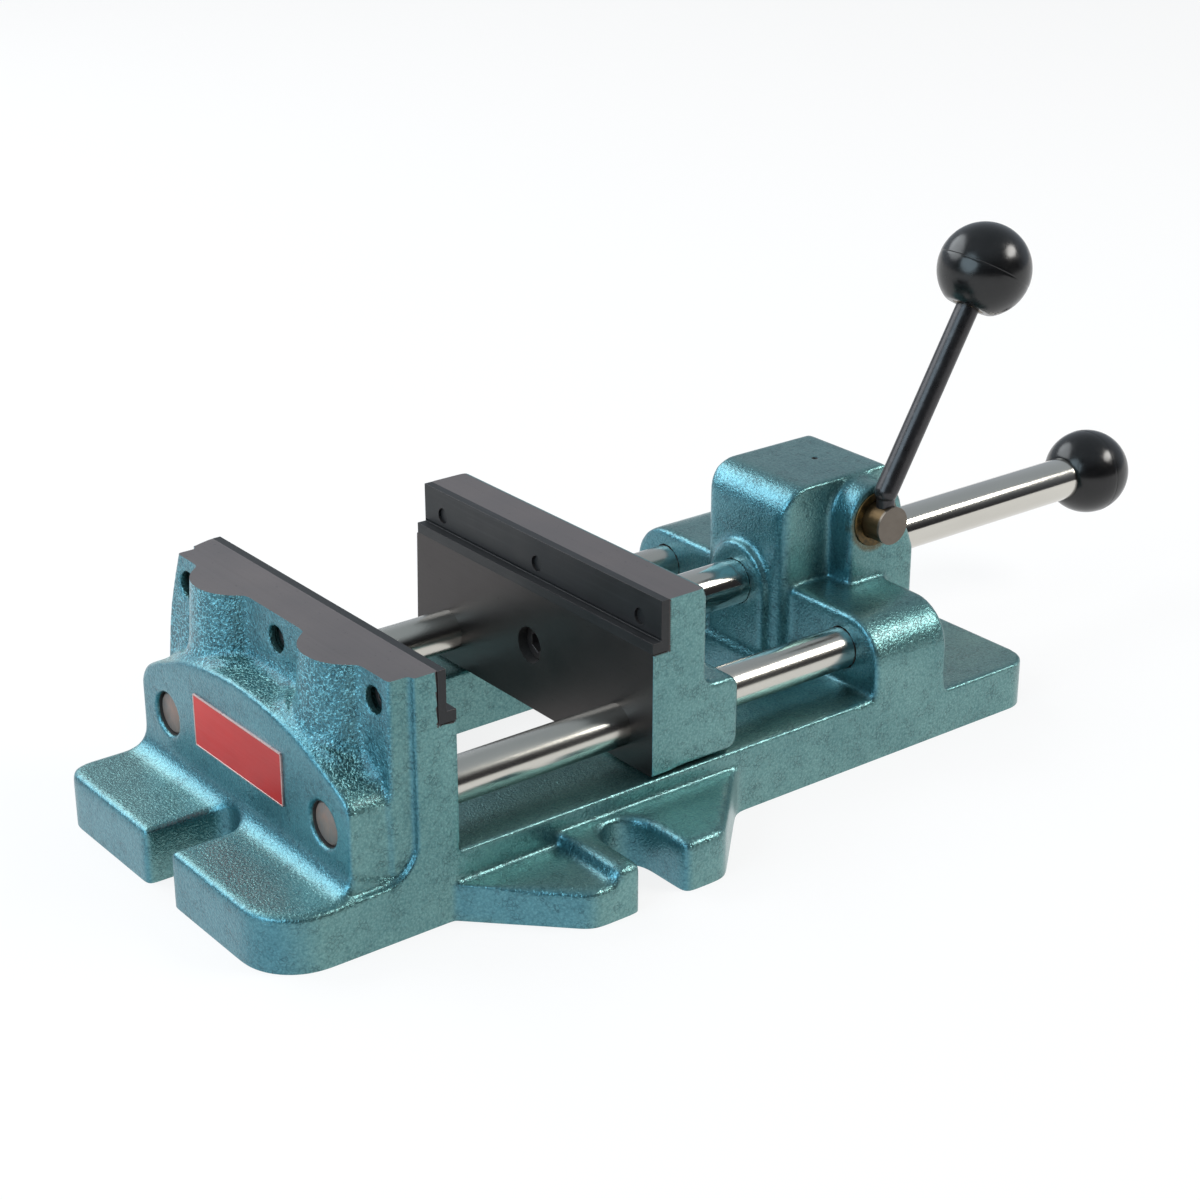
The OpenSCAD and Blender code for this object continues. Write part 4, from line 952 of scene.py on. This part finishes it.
class VISE_OT_ball_knobs(bpy.types.Operator):
    """Spin the two moulded ball knobs and dress their bushes"""

    bl_idname = "vise.ball_knobs"
    bl_label = "Ball knobs"

    def execute(self, context):
        finish = shared(moulded_ball)
        steps = context.scene.vise_steel.knob_segments
        for node, rod, insert, body in (
                ("plunger_knob", "plunger_rod", "plunger_knob_insert", "jaw_carriage"),
                ("lever_knob", "lever_rod", "lever_knob_insert", "cam_lever")):
            ball, hole = node_points(node), node_points(insert)
            low, high = ball.min(axis=0), ball.max(axis=0)
            if node == "plunger_knob":
                out = Vector((1, 0, 0))
                radius = (high[2] - low[2]) / 2
            else:
                stem = node_points(rod)
                out = (Vector(ball.mean(axis=0)) - Vector(stem.mean(axis=0))).normalized()
                radius = (high[1] - low[1]) / 2
            along = ball @ np.array(out)
            tip, seat = along.max(), along.min()
            centre_at = tip - radius
            hole_along = hole @ np.array(out)
            middle = Vector(hole.mean(axis=0))
            axis_point = middle - out * (middle.dot(out) - centre_at)
            flat = math.sqrt(max(radius ** 2 - (centre_at - seat) ** 2, 0.0))
            spokes = [Vector(p) - axis_point for p in hole]
            bush_r = max((spoke - out * spoke.dot(out)).length for spoke in spokes)
            hole_end = hole_along.max() - centre_at + 0.6 * MM
            start = seat - centre_at
            lip = 0.5 * MM
            profile = [(hole_end, 0), (hole_end, bush_r + 0.03 * MM), (start, bush_r + 0.03 * MM),
                       (start, flat - lip), (start + 0.15 * MM, flat - 0.12 * MM)]
            first = math.acos(max(-1.0, min(1.0, (start + lip) / radius)))
            # A fine groove marks the mould's seam round the ball, and the half at the rod is smaller
            seam, groove, shoulder = math.pi / 2, 0.006, 0.02
            groove_depth, offset = 0.16 * MM, 0.07 * MM
            turns = [first + (seam + shoulder - first) * i / 24 for i in range(25)]
            turns += [seam + groove, seam - groove]
            turns += [(seam - shoulder) * (1 - i / 28) for i in range(29)]
            for a in turns:
                cut = groove_depth if abs(a - seam) < 0.01 else offset * (a > seam)
                profile.append(((radius - cut) * math.cos(a), (radius - cut) * math.sin(a)))
            piece = spun(node + "_spun", finish, profile, axis_point, out, steps)
            stand_for(piece, body, "black_plastic", node)
            dress_node(insert, shared(oiled_bronze))
        return {"FINISHED"}


class VISE_OT_lever(bpy.types.Operator):
    """Ease and finish the lever, its cam shaft, the bushes and the retaining ring"""

    bl_idname = "vise.lever"
    bl_label = "Cam and lever"

    def execute(self, context):
        edge = context.scene.vise_steel.edge
        bronze = shared(oiled_bronze)
        for node, body, slot, finish, width in (
                ("cam_shaft", "cam_lever", "brown_steel", shared(browned_steel), 2.2 * edge),
                ("lever_rod", "cam_lever", "black_rod", shared(satin_black), 2.0 * edge),
                ("cam_bush_near", "base", "bronze", bronze, edge)):
            piece = eased_copy(node, node + "_eased", finish, width, 3)
            stand_for(piece, body, slot, node)
        dress_node("cam_bush_far", bronze)
        dress_node("cam_retaining_ring", shared(blackened_steel))
        return {"FINISHED"}


class VISE_OT_screws(bpy.types.Operator):
    """Break the edges of the insert screws, sink their ends below the inserts' faces and blacken them"""

    bl_idname = "vise.screws"
    bl_label = "Insert screws"

    def execute(self, context):
        edge, sink = context.scene.vise_steel.edge, 0.8 * MM
        for node, body, tip in (("fixed_jaw_screws", "base", 1), ("moving_jaw_screws", "jaw_carriage", -1)):
            low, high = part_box(node)
            end = high.x if tip > 0 else low.x
            piece = eased_copy(node, node + "_eased", shared(blackened_steel), edge * 1.8)
            with edited(piece.data) as bm:
                ends = [v for v in bm.verts if abs(v.co.x - end) < 1.2 * MM]
                bmesh.ops.translate(bm, verts=ends, vec=(-sink * tip, 0, 0))
            # The screws' broken edges take the worn steel: partly real wear, partly painted highlight
            second_finish(piece, worn_edge(), lambda n: 0.1 < abs(n.x) < 0.95)
            stand_for(piece, body, "black_oxide", node)
        return {"FINISHED"}


class VISE_OT_nameplate(bpy.types.Operator):
    """Make the bare red plate with its raised pale rim"""

    bl_idname = "vise.nameplate"
    bl_label = "Bare plate"

    def execute(self, context):
        low, high = PLATE
        size = high - low
        bm = bmesh.new()
        bmesh.ops.create_cube(bm, size=1.0)
        bmesh.ops.scale(bm, vec=size, verts=bm.verts)
        bmesh.ops.translate(bm, vec=(low + high) / 2, verts=bm.verts)
        corners = [e for e in bm.edges if abs((e.verts[0].co - e.verts[1].co).x) > size.x * 0.5]
        bmesh.ops.bevel(bm, geom=corners, offset=0.7 * MM, offset_type="OFFSET", segments=4, profile=0.5,
                        affect="EDGES", material=-1)
        front = [f for f in bm.faces if f.normal.x < -0.9]
        rim = bmesh.ops.inset_region(bm, faces=front, thickness=0.55 * MM, depth=0,
                                     use_even_offset=True)["faces"]
        bmesh.ops.inset_region(bm, faces=front, thickness=0.12 * MM, depth=-0.12 * MM, use_even_offset=True)
        for f in bm.faces:
            f.material_index = 1
        for f in front:
            f.material_index = 0
        outer = [e for f in rim for e in f.edges if e.calc_face_angle(0) > 1.0]
        bmesh.ops.bevel(bm, geom=once(outer), offset=0.15 * MM, offset_type="OFFSET", segments=2,
                        profile=0.5, affect="EDGES", material=-1)
        piece = new_piece(bm, "bare_plate", plate_red(), plate_rim())
        smooth_shade(piece)
        stand_for(piece, "base", "red_plate", "nameplate")
        return {"FINISHED"}


class VISE_OT_works(bpy.types.Operator):
    """Finish the lock's hidden steel: plates, spring, keeper and its screws"""

    bl_idname = "vise.works"
    bl_label = "Lock works"

    def execute(self, context):
        for node in ("lock_plate_front", "lock_plate_rear", "return_spring", "keeper_plate"):
            dress_node(node, shared(machined_steel))
        dress_node("keeper_screws", shared(blackened_steel))
        return {"FINISHED"}


class VISE_OT_stage(bpy.types.Operator):
    """Set the pale floor, the soft lights and the camera"""

    bl_idname = "vise.stage"
    bl_label = "Studio"

    def execute(self, context):
        settings = context.scene.vise_stage
        scene = context.scene
        scene.view_settings.view_transform = "Standard"
        self.floor()
        self.sky(scene)
        middle = Vector((0.11, 0.0, 0.05))
        self.softbox("window_light", middle, (-0.3, 0.74, 0.6), 1.9, (2.1, 1.2), settings.window_power,
                     (0.92, 0.97, 1.0))
        self.softbox("key_light", Vector((0.3, -0.04, 0.19)), (0.55, -0.57, 0.61), 1.8, (1.05, 0.6),
                     settings.key_power, (1.0, 0.98, 0.94))
        self.softbox("fill_light", middle, (-0.87, -0.05, 0.49), 1.7, (1.4, 1.4), settings.fill_power,
                     (0.68, 0.88, 1.0))
        camera = bpy.data.cameras.new("camera")
        camera.lens = settings.lens
        camera.sensor_width = 36.0
        camera.clip_start, camera.clip_end = 0.01, 50.0
        holder = bpy.data.objects.new("camera", camera)
        scene.collection.objects.link(holder)
        right = Vector((math.cos(settings.yaw), math.sin(settings.yaw), 0.0))
        back = Vector((math.sin(settings.yaw) * math.cos(settings.pitch),
                       -math.cos(settings.yaw) * math.cos(settings.pitch), math.sin(settings.pitch)))
        turn = Matrix((right, back.cross(right), back)).transposed().to_4x4()
        holder.matrix_world = Matrix.Translation(settings.place) @ turn
        scene.camera = holder
        return {"FINISHED"}

    def floor(self):
        bm = bmesh.new()
        bmesh.ops.create_grid(bm, x_segments=4, y_segments=4, size=9.0)
        bmesh.ops.translate(bm, vec=(0, 0, -0.03 * MM), verts=bm.verts)
        finish, tree, shader, where = blank_finish("studio_floor")
        shade = noise(tree, where, 3.0, 2.0, 0.5)
        colour = tint(tree, shade, (0.93, 0.93, 0.93, 1.0), (0.95, 0.95, 0.95, 1.0))
        wire(tree, shader, colour=colour, rough=0.9)
        shader.inputs["Specular IOR Level"].default_value = 0.0
        glow = add(tree, "ShaderNodeEmission", {"Color": (1.0, 1.0, 1.0, 1.0), "Strength": 1.0})
        path = tree.nodes.new("ShaderNodeLightPath").outputs
        seen = maths(tree, "MAXIMUM", maths(tree, "MAXIMUM", path["Is Camera Ray"], path["Is Glossy Ray"]),
                     path["Is Transmission Ray"])
        both = add(tree, "ShaderNodeMixShader", {0: maths(tree, "MULTIPLY", seen, 0.84)})
        tree.links.new(shader.outputs[0], both.inputs[1])
        tree.links.new(glow.outputs[0], both.inputs[2])
        # Seen from below, the floor lets the underside of the vise show
        below = tree.nodes.new("ShaderNodeNewGeometry").outputs["Backfacing"]
        one_sided = add(tree, "ShaderNodeMixShader", {0: below})
        tree.links.new(both.outputs[0], one_sided.inputs[1])
        tree.links.new(tree.nodes.new("ShaderNodeBsdfTransparent").outputs[0], one_sided.inputs[2])
        tree.links.new(one_sided.outputs[0], tree.nodes["Material Output"].inputs["Surface"])
        piece = new_piece(bm, "studio_floor", finish)

    def sky(self, scene):
        world = bpy.data.worlds.new("studio")
        scene.world = world
        world.use_nodes = True
        tree = world.node_tree
        parts = add(tree, "ShaderNodeSeparateXYZ",
                    {"Vector": tree.nodes.new("ShaderNodeTexCoord").outputs["Generated"]}).outputs
        behind = maths(tree, "ADD", maths(tree, "MULTIPLY", parts["X"], 0.612),
                       maths(tree, "MULTIPLY", parts["Y"], 0.791))
        around = tint(tree, spread(tree, behind, -0.15, 0.35), (0.03, 0.03, 0.034, 1.0),
                      (0.45, 0.5, 0.56, 1.0))
        tree.links.new(tint(tree, spread(tree, parts["Z"], 0.45, 0.85), around, (0.38, 0.43, 0.47, 1.0)),
                       tree.nodes["Background"].inputs["Color"])

    def softbox(self, name, middle, direction, distance, size, power, colour):
        lamp = bpy.data.lights.new(name, "AREA")
        lamp.shape = "ELLIPSE"
        lamp.size, lamp.size_y = size
        lamp.energy = power
        lamp.color = colour
        holder = bpy.data.objects.new(name, lamp)
        bpy.context.scene.collection.objects.link(holder)
        away = Vector(direction).normalized()
        holder.location = middle + away * distance
        holder.rotation_euler = away.to_track_quat("Z", "Y").to_euler()


class VISE_PT_sidebar(bpy.types.Panel):
    bl_idname = "VISE_PT_sidebar"
    bl_label = "Drill press vise"
    bl_space_type = "VIEW_3D"
    bl_region_type = "UI"
    bl_category = "Vise"

    def draw(self, context):
        for group in (context.scene.vise_casting, context.scene.vise_paint, context.scene.vise_steel,
                      context.scene.vise_stage):
            box = self.layout.box()
            for name in group.bl_rna.properties.keys():
                if name not in ("rna_type", "name"):
                    box.prop(group, name)
        for operator in OPERATORS:
            self.layout.operator(operator.bl_idname)


SETTINGS = {"vise_casting": CastingSettings, "vise_paint": PaintSettings, "vise_steel": SteelSettings,
            "vise_stage": StageSettings}
OPERATORS = (VISE_OT_stage, VISE_OT_base_casting, VISE_OT_moving_jaw, VISE_OT_step_inserts,
             VISE_OT_guide_rods, VISE_OT_plunger, VISE_OT_ball_knobs, VISE_OT_lever, VISE_OT_screws,
             VISE_OT_nameplate, VISE_OT_works)


def register():
    for name, group in SETTINGS.items():
        bpy.utils.register_class(group)
        setattr(bpy.types.Scene, name, bpy.props.PointerProperty(type=group))
    for operator in OPERATORS:
        bpy.utils.register_class(operator)
    bpy.utils.register_class(VISE_PT_sidebar)


def unregister():
    bpy.utils.unregister_class(VISE_PT_sidebar)
    for operator in reversed(OPERATORS):
        bpy.utils.unregister_class(operator)
    for name, group in SETTINGS.items():
        delattr(bpy.types.Scene, name)
        bpy.utils.unregister_class(group)


def main():
    register()
    for operator in OPERATORS:
        group, call = operator.bl_idname.split(".")
        getattr(getattr(bpy.ops, group), call)()


if __name__ == "__main__":
    main()
